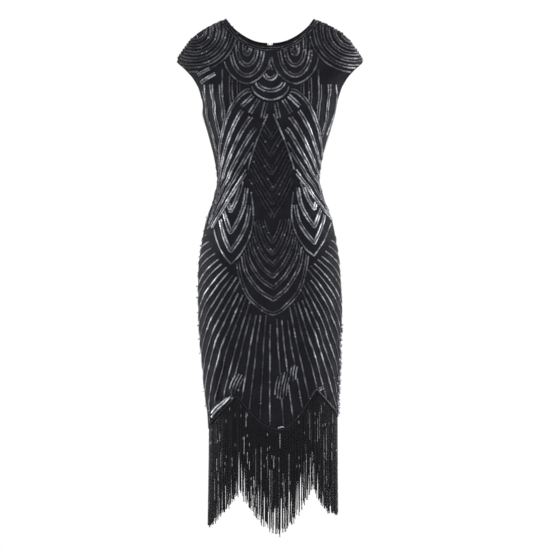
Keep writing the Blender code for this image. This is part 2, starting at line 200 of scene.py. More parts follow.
def unrollTables(side):
    rows = unrolling["rows"]
    heights = np.linspace(unrolling["bottom"], 0, rows)[:, None]
    wide = halfWidth(heights) * np.sin(turns) ** (2 / roundness)
    deep = depthAt(heights, side) * np.cos(turns) ** (2 / roundness)
    steps = np.hypot(np.diff(wide), np.diff(deep))
    runs = np.concatenate([np.zeros((rows, 1)), np.cumsum(steps, 1)], 1)
    full = runs[:, -1:]
    even = np.linspace(0, 1, unrolling["columns"])
    shares = np.array([np.interp(even, run / run[-1], np.sin(turns) ** (2 / roundness)) for run in runs])
    return {"full": np.repeat(full, 2, 1), "runs": runs / full, "shares": shares}


tables = {side: unrollTables(side) for side in (-1, 1)}


def lookUp(table, height, place):
    bottom = unrolling["bottom"]
    row = np.clip((height - bottom) / -bottom * (table.shape[0] - 1), 0, table.shape[0] - 1.001)
    column = np.clip(place * (table.shape[1] - 1), 0, table.shape[1] - 1.001)
    i = row.astype(int)
    j = column.astype(int)
    upward = row - i
    onward = column - j
    low = table[i, j] * (1 - onward) + table[i, j + 1] * onward
    high = table[i + 1, j] * (1 - onward) + table[i + 1, j + 1] * onward
    return low * (1 - upward) + high * upward


def fullRun(height, side):
    height = np.asarray(height, float)
    return lookUp(tables[side]["full"], height, np.zeros(height.shape))


def acrossOf(run, height, side):
    share = np.minimum(np.abs(run) / fullRun(height, side), 1)
    return np.sign(run) * halfWidth(height) * lookUp(tables[side]["shares"], height, share)


def runOf(across, height, side):
    wide = halfWidth(height)
    share = np.minimum(np.abs(across) / wide, 1)
    turn = np.arcsin(share ** (roundness / 2)) / (math.pi / 2)
    beyond = np.maximum(np.abs(across) - wide, 0) * unrolling["pastSeam"]
    return np.sign(across) * (fullRun(height, side) * lookUp(tables[side]["runs"], height, turn) + beyond)


def placeOf(across, height):
    share = np.minimum(np.abs(across) / halfWidth(height), 1)
    return np.sign(across) * np.arcsin(share ** (roundness / 2)) / (math.pi / 2)


def lowerEdge(shape, u):
    u = np.asarray(u, float)
    left, right = shape["leftCusp"], shape["rightCusp"]
    middle = (left + right) / 2
    half = (left - right) / 2
    inside = (u >= right) & (u <= left)
    sideShare = np.where(u > left, (1 - u) / (1 - left), (1 + u) / (1 + right))
    blunt = np.where(u > left, shape["leftBlunt"], shape["rightBlunt"])
    sideShare = np.maximum(0, sideShare - blunt) / (1 - blunt)
    share = np.clip(np.where(inside, np.abs(u - middle) / half, sideShare), 0, 1)
    low = np.where(inside, shape["centreLow"], shape["sideLow"])
    lean = bodyForm["hemLean"] * halfWidth(shape["cusp"]) * np.sin(np.radians(90 * u))
    curve = np.where(inside, shape["curve"], shape["sideCurve"])
    return low + (shape["cusp"] - low) * share**curve + lean


def neckline(across, side):
    share = np.minimum(np.abs(across) / bodyForm["neckHalf"], 1)
    return -bodyForm["neckDrop"][side] * (1 - share ** bodyForm["neckCurve"][side])


# Main folds, listed one by one: side, start run and height, end run and height, width, lift
folds = [
    (-1, -0.168, -0.172, -0.075, -0.222, 0.0075, -0.0024),  # drag lines from the right underarm
    (-1, -0.172, -0.196, -0.098, -0.252, 0.0060, -0.0018),
    (-1, 0.170, -0.176, 0.088, -0.214, 0.0065, -0.0022),  # and from the left
    (-1, 0.168, -0.205, 0.112, -0.268, 0.0070, 0.0016),
    (-1, -0.062, -0.205, -0.030, -0.330, 0.0140, 0.0022),  # the front falling away from the bust
    (-1, 0.052, -0.212, 0.028, -0.306, 0.0120, 0.0020),
    (-1, 0.004, -0.232, 0.010, -0.300, 0.0160, -0.0028),
    (-1, -0.150, -0.345, -0.058, -0.366, 0.0070, -0.0020),  # waist creases
    (-1, -0.154, -0.376, -0.092, -0.384, 0.0055, 0.0015),
    (-1, 0.150, -0.338, 0.075, -0.352, 0.0060, -0.0018),
    (-1, 0.152, -0.370, 0.048, -0.391, 0.0085, 0.0021),
    (-1, -0.030, -0.402, 0.038, -0.396, 0.0110, -0.0016),
    (-1, -0.118, -0.470, -0.030, -0.560, 0.0160, 0.0022),  # across the stomach and hips
    (-1, 0.126, -0.500, 0.060, -0.598, 0.0150, -0.0020),
    (-1, -0.160, -0.600, -0.100, -0.760, 0.0130, 0.0022),
    (-1, 0.166, -0.640, 0.120, -0.830, 0.0140, -0.0024),  # long folds of the skirt
    (-1, 0.112, -0.660, 0.094, -0.842, 0.0110, 0.0030),
    (-1, 0.052, -0.700, 0.050, -0.900, 0.0120, -0.0026),
    (-1, 0.020, -0.770, 0.012, -0.926, 0.0090, 0.0034),
    (-1, -0.018, -0.690, -0.030, -0.905, 0.0110, -0.0030),
    (-1, -0.060, -0.760, -0.094, -0.850, 0.0090, 0.0050),
    (-1, -0.106, -0.770, -0.130, -0.860, 0.0080, -0.0036),
    (-1, -0.118, -0.862, -0.172, -0.912, 0.0085, 0.0075),  # the lifted corner of the hem
    (-1, -0.100, -0.846, -0.176, -0.884, 0.0060, -0.0040),
    (-1, 0.140, -0.850, 0.176, -0.880, 0.0080, 0.0034),
    (1, -0.166, -0.180, -0.078, -0.214, 0.0070, -0.0022),  # behind, from the underarms
    (1, 0.168, -0.186, 0.092, -0.236, 0.0080, -0.0024),
    (1, 0.160, -0.214, 0.106, -0.282, 0.0060, 0.0014),
    (1, -0.148, -0.330, -0.062, -0.338, 0.0060, -0.0020),  # the hollow of the back
    (1, -0.150, -0.362, -0.048, -0.378, 0.0085, 0.0024),
    (1, 0.148, -0.352, 0.040, -0.361, 0.0075, -0.0023),
    (1, 0.150, -0.388, 0.088, -0.402, 0.0065, 0.0018),
    (1, -0.120, -0.440, -0.040, -0.480, 0.0110, -0.0018),
    (1, 0.138, -0.520, 0.070, -0.640, 0.0150, 0.0024),
    (1, -0.150, -0.560, -0.084, -0.690, 0.0130, -0.0022),
    (1, -0.110, -0.640, -0.092, -0.860, 0.0130, 0.0034),  # long folds below the seat
    (1, -0.052, -0.660, -0.060, -0.890, 0.0110, -0.0030),
    (1, -0.012, -0.680, -0.020, -0.915, 0.0100, 0.0026),
    (1, 0.036, -0.720, 0.030, -0.905, 0.0120, -0.0032),
    (1, 0.082, -0.650, 0.078, -0.850, 0.0120, 0.0036),
    (1, 0.130, -0.740, 0.142, -0.880, 0.0090, -0.0030),
]
foldStyle = {
    "bow": 0.20, "gentleFlank": 1.5,  # the other flank is steeper
    "fade": 0.30, "ripple": 0.00022, "calmSeam": 0.10, "calmZip": (0.014, 0.022),
}


def smoothStep(share):
    return share * share * (3 - 2 * share)


def foldLift(run, height, side):
    lift = np.zeros(np.shape(run))
    for foldSide, startRun, startHeight, endRun, endHeight, width, rise in folds:
        if foldSide != side:
            continue
        along = np.array([endRun - startRun, endHeight - startHeight])
        length = np.hypot(*along)
        along /= length
        t = ((run - startRun) * along[0] + (height - startHeight) * along[1]) / length
        bow = foldStyle["bow"] * length * t * (1 - t)
        off = (run - startRun) * along[1] - (height - startHeight) * along[0] - bow
        width = np.where(off > 0, width, foldStyle["gentleFlank"] * width)
        fade = np.clip(np.minimum(t + 0.12, 1.06 - t) / foldStyle["fade"], 0, 1)
        lift += rise * np.exp(-((off / width) ** 2)) * smoothStep(fade)
    ripple = np.sin(61 * run + 47 * height + 1.3 * side) + np.sin(113 * height - 71 * run + 0.7)
    ripple += 0.7 * np.sin(151 * run + 83 * height + 2.1) * np.sin(97 * height + 0.4)
    lift += foldStyle["ripple"] * ripple
    seam = np.clip((1 - np.abs(run) / fullRun(height, side)) / foldStyle["calmSeam"], 0, 1)
    lift *= smoothStep(seam)
    if side > 0:
        calm, fading = foldStyle["calmZip"]
        nearZip = np.clip((np.abs(run) - calm) / fading, 0, 1)
        lift *= np.where(height > bodyForm["zipEnd"] - 0.02, nearZip, 1)
    return lift


def clothFrame(run, height, side):
    across = acrossOf(run, height, side)
    base = skinPoint(across, height, side)
    normal = skinNormal(base, side)
    level = unit(np.cross(up, normal))
    rise = np.cross(normal, level)
    right = -side * level
    small = 0.0008
    lift = foldLift(run, height, side)
    slopeRight = (foldLift(run + small, height, side) - foldLift(run - small, height, side)) / (2 * small)
    slopeUp = (foldLift(run, height + small, side) - foldLift(run, height - small, side)) / (2 * small)
    turned = normal - right * slopeRight[..., None] - rise * (slopeUp * np.abs(rise[..., 2]))[..., None]
    return base + normal * lift[..., None], unit(turned), right


# Shader node helpers
def groupOf(name, inputs, outputs):
    group = bpy.data.node_groups.new(name, "ShaderNodeTree")
    for label, kind, value in inputs:
        socket = group.interface.new_socket(label, in_out="INPUT", socket_type=kind)
        if value is not None:
            socket.default_value = value
    for label, kind in outputs:
        group.interface.new_socket(label, in_out="OUTPUT", socket_type=kind)
    return group, group.nodes.new("NodeGroupInput"), group.nodes.new("NodeGroupOutput")


def setInputs(tree, node, values):
    for key, value in values.items():
        if hasattr(value, "is_linked"):
            tree.links.new(value, node.inputs[key])
        else:
            node.inputs[key].default_value = value


def addNode(tree, kind, inputs=None, **settings):
    node = tree.nodes.new(kind)
    for key, value in settings.items():
        setattr(node, key, value)
    setInputs(tree, node, inputs or {})
    return node


def maths(tree, operation, *values):
    return addNode(tree, "ShaderNodeMath", dict(enumerate(values)), operation=operation).outputs[0]


def mixColours(tree, factor, first, second, **settings):
    inputs = {0: factor, 6: first, 7: second}
    return addNode(tree, "ShaderNodeMix", inputs, data_type="RGBA", **settings).outputs[2]


netWeave = {"thread": (0.33, 0.47), "fuzzScale": 900.0, "fuzz": 0.35}


def makeNetGroup():
    group, start, end = groupOf(
        "netWeave",
        [("Vector", "NodeSocketVector", None), ("Mesh", "NodeSocketFloat", 0.0013)],
        [("Thread", "NodeSocketFloat"), ("Height", "NodeSocketFloat")],
    )
    place, mesh = start.outputs["Vector"], start.outputs["Mesh"]
    split = addNode(group, "ShaderNodeSeparateXYZ", {0: place})
    u = maths(group, "DIVIDE", split.outputs[0], mesh)
    v = maths(group, "DIVIDE", split.outputs[1], mesh)
    crossings = []
    for way in (maths(group, "ADD", u, v), maths(group, "SUBTRACT", u, v)):
        saw = maths(group, "FRACT", way)
        crossings.append(maths(group, "ABSOLUTE", maths(group, "SUBTRACT", saw, 0.5)))
    thin, thick = netWeave["thread"]
    inputs = {0: maths(group, "MAXIMUM", *crossings), 1: thin, 2: thick, 3: 0.0, 4: 1.0}
    thread = addNode(group, "ShaderNodeMapRange", inputs, interpolation_type="SMOOTHSTEP").outputs[0]
    inputs = {"Vector": place, "Scale": netWeave["fuzzScale"], "Detail": 2.0}
    fuzz = addNode(group, "ShaderNodeTexNoise", inputs).outputs["Fac"]
    height = maths(group, "MULTIPLY_ADD", fuzz, netWeave["fuzz"], thread)
    setInputs(group, end, {"Thread": thread, "Height": height})
    return group


def makeToneGroup():
    group, start, end = groupOf(
        "unevenTone",
        [
            ("Vector", "NodeSocketVector", None),
            ("Dark", "NodeSocketColor", (0, 0, 0, 1)),
            ("Light", "NodeSocketColor", (1, 1, 1, 1)),
            ("Scale", "NodeSocketFloat", 20.0),
        ],
        [("Color", "NodeSocketColor"), ("Mask", "NodeSocketFloat")],
    )
    given = start.outputs
    broad = addNode(group, "ShaderNodeTexNoise", {
        "Vector": given["Vector"], "Scale": given["Scale"], "Detail": 4.0, "Roughness": 0.62
    })
    inputs = {0: broad.outputs["Fac"], 1: 0.3, 2: 0.7, 3: 0.0, 4: 1.0}
    mask = addNode(group, "ShaderNodeMapRange", inputs).outputs[0]
    setInputs(group, end, {"Color": mixColours(group, mask, given["Dark"], given["Light"]), "Mask": mask})
    return group


netGroup = makeNetGroup()
toneGroup = makeToneGroup()


def newMaterial(name):
    made = bpy.data.materials.new(name)
    made.use_nodes = True
    return made, made.node_tree, made.node_tree.nodes["Principled BSDF"]


def objectPlace(tree):
    return addNode(tree, "ShaderNodeTexCoord").outputs["Object"]


def pointValue(tree, name):
    return addNode(tree, "ShaderNodeAttribute", attribute_name=name).outputs["Fac"]


def unevenTone(tree, place, finish):
    inputs = {"Vector": place, "Dark": finish["dark"], "Light": finish["light"], "Scale": finish["scale"]}
    node = addNode(tree, "ShaderNodeGroup", inputs, node_tree=toneGroup)
    return node.outputs["Color"], node.outputs["Mask"]


def bumpInto(tree, shader, height, strength, distance):
    bump = addNode(tree, "ShaderNodeBump", {"Height": height, "Strength": strength, "Distance": distance})
    tree.links.new(bump.outputs["Normal"], shader.inputs["Normal"])


# Roughness is a slope times the uneven tone and a start, bump is a strength and a distance
netFinish = {
    "dark": (0.0024, 0.0025, 0.0040, 1), "light": (0.0062, 0.0065, 0.0098, 1), "scale": 34.0,
    "thread": (0.012, 0.012, 0.016, 1), "threadShare": 0.55, "mesh": 0.0014,
    "roughness": (-0.14, 0.78), "specular": 0.13, "bump": (0.5, 0.0005),
}


def makeNetMaterial():
    made, tree, shader = newMaterial("beadedNet")
    flat = addNode(tree, "ShaderNodeUVMap", uv_map="clothRun").outputs["UV"]
    net = addNode(tree, "ShaderNodeGroup", {"Vector": flat, "Mesh": netFinish["mesh"]}, node_tree=netGroup)
    tone, mask = unevenTone(tree, flat, netFinish)
    share = maths(tree, "MULTIPLY", net.outputs["Thread"], netFinish["threadShare"])
    setInputs(tree, shader, {
        "Base Color": mixColours(tree, share, tone, netFinish["thread"]),
        "Roughness": maths(tree, "MULTIPLY_ADD", mask, *netFinish["roughness"]),
        "Specular IOR Level": netFinish["specular"],
    })
    bumpInto(tree, shader, net.outputs["Height"], *netFinish["bump"])
    return made


sequinFinish = {
    "black": (0.030, 0.030, 0.035, 1), "grey": (0.62, 0.63, 0.69, 1),
    "dark": (0.62, 0.62, 0.64, 1), "light": (1, 1, 1, 1), "scale": 260.0,
    "metallic": 0.85, "roughness": (0.10, 0.24), "bump": (0.15, 0.0002),
}


# The foil colour runs from black to grey by a per-sequin value that is partly black and gunmetal sequins and
# partly painted light, shade and glints.
def makeSequinMaterial():
    made, tree, shader = newMaterial("sequinFoil")
    shine = pointValue(tree, "shine")
    tone, mask = unevenTone(tree, objectPlace(tree), sequinFinish)
    foil = mixColours(tree, shine, sequinFinish["black"], sequinFinish["grey"])
    setInputs(tree, shader, {
        "Base Color": mixColours(tree, 1, foil, tone, blend_type="MULTIPLY"),
        "Metallic": sequinFinish["metallic"],
        "Roughness": maths(tree, "MULTIPLY_ADD", mask, *sequinFinish["roughness"]),
    })
    bumpInto(tree, shader, mask, *sequinFinish["bump"])
    return made


beadFinish = {
    "dark": (0.0080, 0.0080, 0.0100, 1), "light": (0.0135, 0.0135, 0.0160, 1), "scale": 180.0,
    "silver": (0.58, 0.58, 0.62, 1), "roughness": (0.12, 0.34), "specular": 0.12, "bump": (0.1, 0.0002),
}


# Beads marked silver get a grey metallic lining; runs and single beads of it are placed as painted highlights
# down the strands.
def makeBeadMaterial():
    made, tree, shader = newMaterial("bugleGlass")
    tone, mask = unevenTone(tree, objectPlace(tree), beadFinish)
    silver = pointValue(tree, "silver")
    setInputs(tree, shader, {
        "Base Color": mixColours(tree, silver, tone, beadFinish["silver"]),
        "Metallic": silver,
        "Roughness": maths(tree, "MULTIPLY_ADD", mask, *beadFinish["roughness"]),
        "Specular IOR Level": beadFinish["specular"],
    })
    bumpInto(tree, shader, mask, *beadFinish["bump"])
    return made


threadFinish = {
    "dark": (0.006, 0.006, 0.007, 1), "light": (0.018, 0.018, 0.020, 1), "scale": 120.0,
    "ply": 700.0, "roughness": 0.8, "bump": (0.4, 0.0002),
}


def makeThreadMaterial():
    made, tree, shader = newMaterial("blackThread")
    place = objectPlace(tree)
    ply = {"Vector": place, "Scale": threadFinish["ply"], "Distortion": 1.5, "Detail": 1.0}
    twist = addNode(tree, "ShaderNodeTexWave", ply).outputs["Fac"]
    tone, _ = unevenTone(tree, place, threadFinish)
    setInputs(tree, shader, {"Base Color": tone, "Roughness": threadFinish["roughness"]})
    bumpInto(tree, shader, twist, *threadFinish["bump"])
    return made


tapeFinish = {
    "dark": (0.008, 0.008, 0.009, 1), "light": (0.020, 0.020, 0.023, 1), "scale": 70.0,
    "ribs": (("Z", 420.0), ("X", 620.0)), "raised": (0.034, 0.034, 0.038, 1), "raisedShare": 0.5,
    "roughness": 0.82, "bump": (0.5, 0.0004),
}


def makeTapeMaterial():
    made, tree, shader = newMaterial("zipTape")
    place = objectPlace(tree)
    ribs = []
    for way, scale in tapeFinish["ribs"]:
        rib = addNode(tree, "ShaderNodeTexWave", {"Vector": place, "Scale": scale}, bands_direction=way)
        ribs.append(rib.outputs["Fac"])
    weave = maths(tree, "MULTIPLY", *ribs)
    tone, _ = unevenTone(tree, place, tapeFinish)
    share = maths(tree, "MULTIPLY", weave, tapeFinish["raisedShare"])
    setInputs(tree, shader, {
        "Base Color": mixColours(tree, share, tone, tapeFinish["raised"]),
        "Roughness": tapeFinish["roughness"],
    })
    bumpInto(tree, shader, weave, *tapeFinish["bump"])
    return made


metalFinish = {
    "dark": (0.10, 0.10, 0.11, 1), "light": (0.24, 0.24, 0.25, 1), "scale": 240.0,
    "brush": (900.0, 900.0, 40.0), "roughness": (0.22, 0.20), "bump": (0.12, 0.0002),
}


def makeMetalMaterial():
    made, tree, shader = newMaterial("darkNickel")
    place = objectPlace(tree)
    tone, _ = unevenTone(tree, place, metalFinish)
    drawn = addNode(tree, "ShaderNodeMapping", {"Vector": place, "Scale": metalFinish["brush"]}).outputs[0]
    inputs = {"Vector": drawn, "Scale": 3.0, "Detail": 3.0}
    brushed = addNode(tree, "ShaderNodeTexNoise", inputs).outputs["Fac"]
    setInputs(tree, shader, {
        "Base Color": tone, "Metallic": 1,
        "Roughness": maths(tree, "MULTIPLY_ADD", brushed, *metalFinish["roughness"]),
    })
    bumpInto(tree, shader, brushed, *metalFinish["bump"])
    return made


netMaterial = makeNetMaterial()
sequinMaterial = makeSequinMaterial()
beadMaterial = makeBeadMaterial()
threadMaterial = makeThreadMaterial()
tapeMaterial = makeTapeMaterial()
metalMaterial = makeMetalMaterial()
print("materials made")


# Cloth panels
panelStyle = {
    "columns": 100,
    "skirtRows": 44,
    "torsoRows": 76,
    "yokeRows": 26,
    "yokeStart": -0.300,  # above it the columns lean to the neck and shoulder
    "edgeSteps": (0.0074, 0.0060, 0.0050, 0.0043, 0.0036, 0.0022, 0.0008, 0.0),  # rows of the turned edge
    "edgeLift": (0.0, 0.00005, -0.00015, -0.00025, 0.00020, 0.00035, 0.00025, 0.0),
}


def turnOutward(mesh):
    form = bmesh.new()
    form.from_mesh(mesh)
    bmesh.ops.recalc_face_normals(form, faces=form.faces)
    form.to_mesh(mesh)
    form.free()


def linkPiece(name, mesh, material):
    mesh.materials.append(material)
    thing = bpy.data.objects.new(name, mesh)
    scene.collection.objects.link(thing)
    return thing


backNeck = float(neckline(0, 1))


def backEdge(height):
    spread = np.clip((height - backNeck + 0.012) / 0.012, 0, 1)
    return bodyForm["zipHalf"] + (bodyForm["zipTop"] - bodyForm["zipHalf"]) * spread


def ridgeHeight(across):
    levels = np.linspace(bodyForm["sleeveTip"], 0, 400)
    return float(np.interp(-across, -halfWidth(levels), levels))


def topEdge(u, side):
    place = abs(u)
    half = bodyForm["neckHalf"]
    if place <= 0.5:
        across = half * math.sin(math.radians(180 * place))
        return across, float(neckline(across, side))
    across = half + (float(armholeSeam(bodyForm["shoulderTip"])) - half) * (place - 0.5) * 2
    return across, ridgeHeight(across)


def columnHeights(u, top):
    hem = float(lowerEdge(hemShape, u))
    edge = np.array(panelStyle["edgeSteps"])
    hip, underarm = bodyForm["hip"], bodyForm["underarm"]
    low = hem + edge[::-1]
    skirt = np.linspace(low[-1], hip, panelStyle["skirtRows"] + 1)[1:]
    torso = np.linspace(hip, underarm, panelStyle["torsoRows"] + 1)[1:]
    rows = panelStyle["yokeRows"]
    share = 1 - (1 - np.arange(1, rows) / rows) ** 1.35
    yoke = underarm + (top - 0.0085 - underarm) * share
    return np.concatenate([low, skirt, torso, yoke, top - edge])


def panelColumn(u, side, split):
    turn = math.sin(math.radians(90 * abs(u))) ** (2 / roundness)
    topAcross, top = topEdge(u, side)
    height = columnHeights(u, top)
    wholeWidth = (height < bodyForm["underarm"]) | (height > bodyForm["shoulderTip"])
    panelEdge = np.where(wholeWidth, halfWidth(height), armholeSeam(height))
    topShare = topAcross / panelEdge[-1]
    yokeStart = panelStyle["yokeStart"]
    lean = np.maximum(0, (height - yokeStart) / (top - yokeStart)) ** 1.5
    share = turn + (topShare - turn) * lean
    start = 0.0
    if split:
        start = np.where(height > bodyForm["zipEnd"], backEdge(height), bodyForm["seamGap"] / 2)
    sign = -1 if u < 0 or split < 0 else 1
    across = sign * (start + (panelEdge - start) * share)
    base = skinPoint(across, height, side)
    run = runOf(across, height, side)
    lift = foldLift(run, height, side)
    edge = np.array(panelStyle["edgeLift"])
    lift[: len(edge)] += edge[::-1]
    lift[-len(edge) :] += edge
    normal = skinNormal(base, side)
    gap = np.array([0, side * bodyForm["seamGap"] / 2, 0])
    outer = base + normal * lift[:, None] + gap
    inner = outer - normal * bodyForm["cloth"]
    return outer, inner, np.stack([run, height], -1)


def sheetBetween(name, outer, inner, flat, material):
    columns, rows = outer.shape[:2]
    count = columns * rows
    index = np.arange(count).reshape(columns, rows)
    front = np.stack([index[:-1, :-1], index[1:, :-1], index[1:, 1:], index[:-1, 1:]], -1).reshape(-1, 4)
    back = front[:, ::-1] + count
    rim = np.concatenate([index[:-1, 0], index[-1, :-1], index[:0:-1, -1], index[0, :0:-1]])
    following = np.roll(rim, -1)
    sides = np.stack([following, rim, rim + count, following + count], -1)
    faces = np.concatenate([front, back, sides])
    mesh = bpy.data.meshes.new(name)
    points = np.concatenate([outer.reshape(-1, 3), inner.reshape(-1, 3)])
    mesh.from_pydata(points.tolist(), [], faces.tolist())
    turnOutward(mesh)
    corner = np.empty(len(mesh.loops), np.int32)
    mesh.loops.foreach_get("vertex_index", corner)
    layer = mesh.uv_layers.new(name="clothRun")
    both = np.concatenate([flat.reshape(-1, 2), flat.reshape(-1, 2)])
    layer.data.foreach_set("uv", both[corner].ravel())
    mesh.shade_smooth()
    mesh.set_sharp_from_angle(angle=math.radians(50))
    return linkPiece(name, mesh, material)


def makePanel(name, places, side, split=0):
    columns = [panelColumn(u, side, split) for u in places]
    outer, inner, flat = (np.array([column[k] for column in columns]) for k in range(3))
    return sheetBetween(name, outer, inner, flat, netMaterial)


def spacedPlaces(*breaks):
    step = 2 / panelStyle["columns"]
    places = [breaks[0]]
    for start, end in zip(breaks, breaks[1:]):
        count = max(1, math.ceil((end - start) / step - 1e-6))
        places += [start + (end - start) * i / count for i in range(1, count)] + [end]
    return places


sleeveStyle = {
    "stations": 60, "columns": 16, "seamShare": 0.00065 / 0.055,  # of the width, left free at the seam
    "edge": (0.90, 0.925, 0.94, 0.955, 0.98, 1.0),
    "edgeLift": (0.0, -0.00015, -0.00025, 0.0002, 0.00035, 0.0),
}


def makeSleeve(name, sign):
    down = np.linspace(bodyForm["sleeveEnd"], 0, sleeveStyle["stations"] // 2)
    stations = [(value, -1) for value in down] + [(value, 1) for value in down[-2::-1]]
    across = np.concatenate([np.linspace(0.0, 0.88, sleeveStyle["columns"]), sleeveStyle["edge"]])
    underarm, tip = bodyForm["underarm"], bodyForm["sleeveTip"]
    outer, inner, flat = [], [], []
    lifts = np.zeros(len(across))
    lifts[-len(sleeveStyle["edge"]) :] = sleeveStyle["edgeLift"]
    for value, side in stations:
        seamHeight = underarm + (bodyForm["shoulderTip"] - underarm) * (1 - value)
        edgeHeight = tip + (underarm - tip) * value**1.1
        seamShare = min(1.0, float(armholeSeam(seamHeight) / halfWidth(seamHeight)))
        edgeShare = min(1.0, float(sleeveEdge(edgeHeight) / halfWidth(edgeHeight)))
        t = sleeveStyle["seamShare"] + (1 - sleeveStyle["seamShare"]) * across
        share = (1 - t) * seamShare + t * edgeShare
        height = (1 - t) * seamHeight + t * edgeHeight
        place = sign * share * halfWidth(height)
        base = skinPoint(place, height, side)
        run = runOf(place, height, side)
        normal = skinNormal(base, side)
        lift = foldLift(run, height, side) + lifts
        point = base + normal * lift[:, None]
        outer.append(point)
        inner.append(point - normal * bodyForm["cloth"])
        flat.append(np.stack([run, -side * height], -1))
    return sheetBetween(name, np.array(outer), np.array(inner), np.array(flat), netMaterial)


middlePlace = (hemShape["leftCusp"] + hemShape["rightCusp"]) / 2
frontPanel = makePanel(
    "frontPanel", spacedPlaces(-1, -0.5, hemShape["rightCusp"], middlePlace, hemShape["leftCusp"], 0.5, 1), -1
)
backLeftPanel = makePanel("backLeftPanel", spacedPlaces(0, middlePlace, hemShape["leftCusp"], 0.5, 1), 1, 1)
backRightPanel = makePanel("backRightPanel", spacedPlaces(-1, -0.5, hemShape["rightCusp"], 0), 1, -1)
leftSleeve = makeSleeve("leftCapSleeve", 1)
rightSleeve = makeSleeve("rightCapSleeve", -1)
for piece, node in (
    (frontPanel, "front"), (backLeftPanel, "back_left"), (backRightPanel, "back_right"),
    (leftSleeve, "cap_sleeve_left"), (rightSleeve, "cap_sleeve_right"),
):
    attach(piece, "dress")
    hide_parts(node)
print("cloth panels made")


# Pattern of sequin rows
rowsLaid = []


def smoothThrough(points, step=0.0015):
    points = np.array(points, float)
    ends = np.concatenate([[2 * points[0] - points[1]], points, [2 * points[-1] - points[-2]]])
    pieces = []
    for before, start, end, after in zip(ends, ends[1:], ends[2:], ends[3:]):
        count = max(2, int(np.linalg.norm(end - start) / step))
        t = np.arange(count)[:, None] / count
        bend = 2 * before - 5 * start + 4 * end - after
        twist = 3 * start - before - 3 * end + after
        pieces.append(0.5 * (2 * start + (end - before) * t + bend * t**2 + twist * t**3))
    return np.concatenate(pieces + [points[-1:]])


# In front the pattern lies off centre and leans below the waist, by height
driftRows = np.array([(-0.90, 0.009), (-0.60, 0.0085), (-0.40, 0.0075), (-0.25, 0.005), (-0.16, 0.001)])
skewRows = np.array([(-0.50, 0.10), (-0.40, 0.0)])


def patternDrift(height, side):
    return np.interp(height, *driftRows.T) if side < 0 else 0 * height


def patternSkew(height, side):
    return np.interp(height, *skewRows.T) if side < 0 else 0 * height


def toCloth(points, side):
    return np.stack([
        points[:, 0] + patternDrift(points[:, 1], side),
        points[:, 1] + patternSkew(points[:, 1], side) * points[:, 0],
    ], -1)


rowMargins = {
    "seam": 0.0012, "neck": 0.0025, "hem": 0.0028, "sleeve": 0.002, "zip": 0.0095, "zipEnd": 0.004,
    "top": -0.001, "sleeveFoot": -0.154,  # no row lies above the one, or on a sleeve below the other
}


def pastArmhole(across, height):
    besideArm = (height > bodyForm["underarm"]) & (height < bodyForm["shoulderTip"])
    return besideArm & (np.abs(across) > armholeSeam(height))


def onCloth(run, height, side):
    across = acrossOf(run, height, side)
    wide = np.abs(across)
    keep = np.abs(run) < fullRun(height, side) - rowMargins["seam"]
    keep &= (wide > bodyForm["neckHalf"]) | (height < neckline(across, side) - rowMargins["neck"])
    keep &= height < rowMargins["top"]
    keep &= height > lowerEdge(hemShape, placeOf(across, height)) + rowMargins["hem"]
    insideEdge = wide < sleeveEdge(height) - rowMargins["sleeve"]
    onSleeve = (height > rowMargins["sleeveFoot"]) & ((height > bodyForm["sleeveTip"]) | insideEdge)
    keep &= ~pastArmhole(across, height) | onSleeve
    if side > 0:
        keep &= (wide > rowMargins["zip"]) | (height < bodyForm["zipEnd"] - rowMargins["zipEnd"])
    return keep


def stretches(keep):
    starts = np.flatnonzero(keep & ~np.concatenate([[False], keep[:-1]]))
    ends = np.flatnonzero(keep & ~np.concatenate([keep[1:], [False]])) + 1
    return zip(starts, ends)


def addRow(run, height, side, shine, size):
    for start, end in stretches(onCloth(run, height, side)):
        if end - start > 3:
            rowsLaid.append({
                "run": run[start:end], "height": height[start:end], "side": side, "shine": shine, "size": size
            })


# A pair is half the distance between the two rows of a line, and 0 gives a single row
def addLine(points, side, shine, pair=0.0031, widen=0.0, keep=None, size=1.0, unrolled=False, smooth=True):
    points = np.array(points, float)
    if not unrolled:
        laid = toCloth(points, side)
        points = np.stack([runOf(laid[:, 0], laid[:, 1], side), laid[:, 1]], -1)
    line = smoothThrough(points) if smooth else points
    along = np.gradient(line, axis=0)
    along /= np.maximum(np.hypot(along[:, 0], along[:, 1]), 1e-9)[:, None]
    length = np.concatenate([[0], np.cumsum(np.hypot(*np.diff(line, axis=0).T))])
    for offset in (-1, 1) if pair else (0,):
        apart = offset * (pair + widen * length)
        run = line[:, 0] - along[:, 1] * apart
        height = line[:, 1] + along[:, 0] * apart
        if keep is not None:
            across = acrossOf(run, height, side) - patternDrift(height, side)
            wanted = keep(across, height - patternSkew(height, side) * across)
            for start, end in stretches(wanted):
                addRow(run[start:end], height[start:end], side, shine, size)
        else:
            addRow(run, height, side, shine, size)


def arcPoints(centre, wide, deep, start, end, count=60, power=2.0):
    turn = np.radians(np.linspace(start, end, count))
    across = np.sign(np.sin(turn)) * np.abs(np.sin(turn)) ** (2 / power)
    down = np.sign(np.cos(turn)) * np.abs(np.cos(turn)) ** (2 / power)
    return np.stack([centre[0] + wide * across, centre[1] - deep * down], -1)
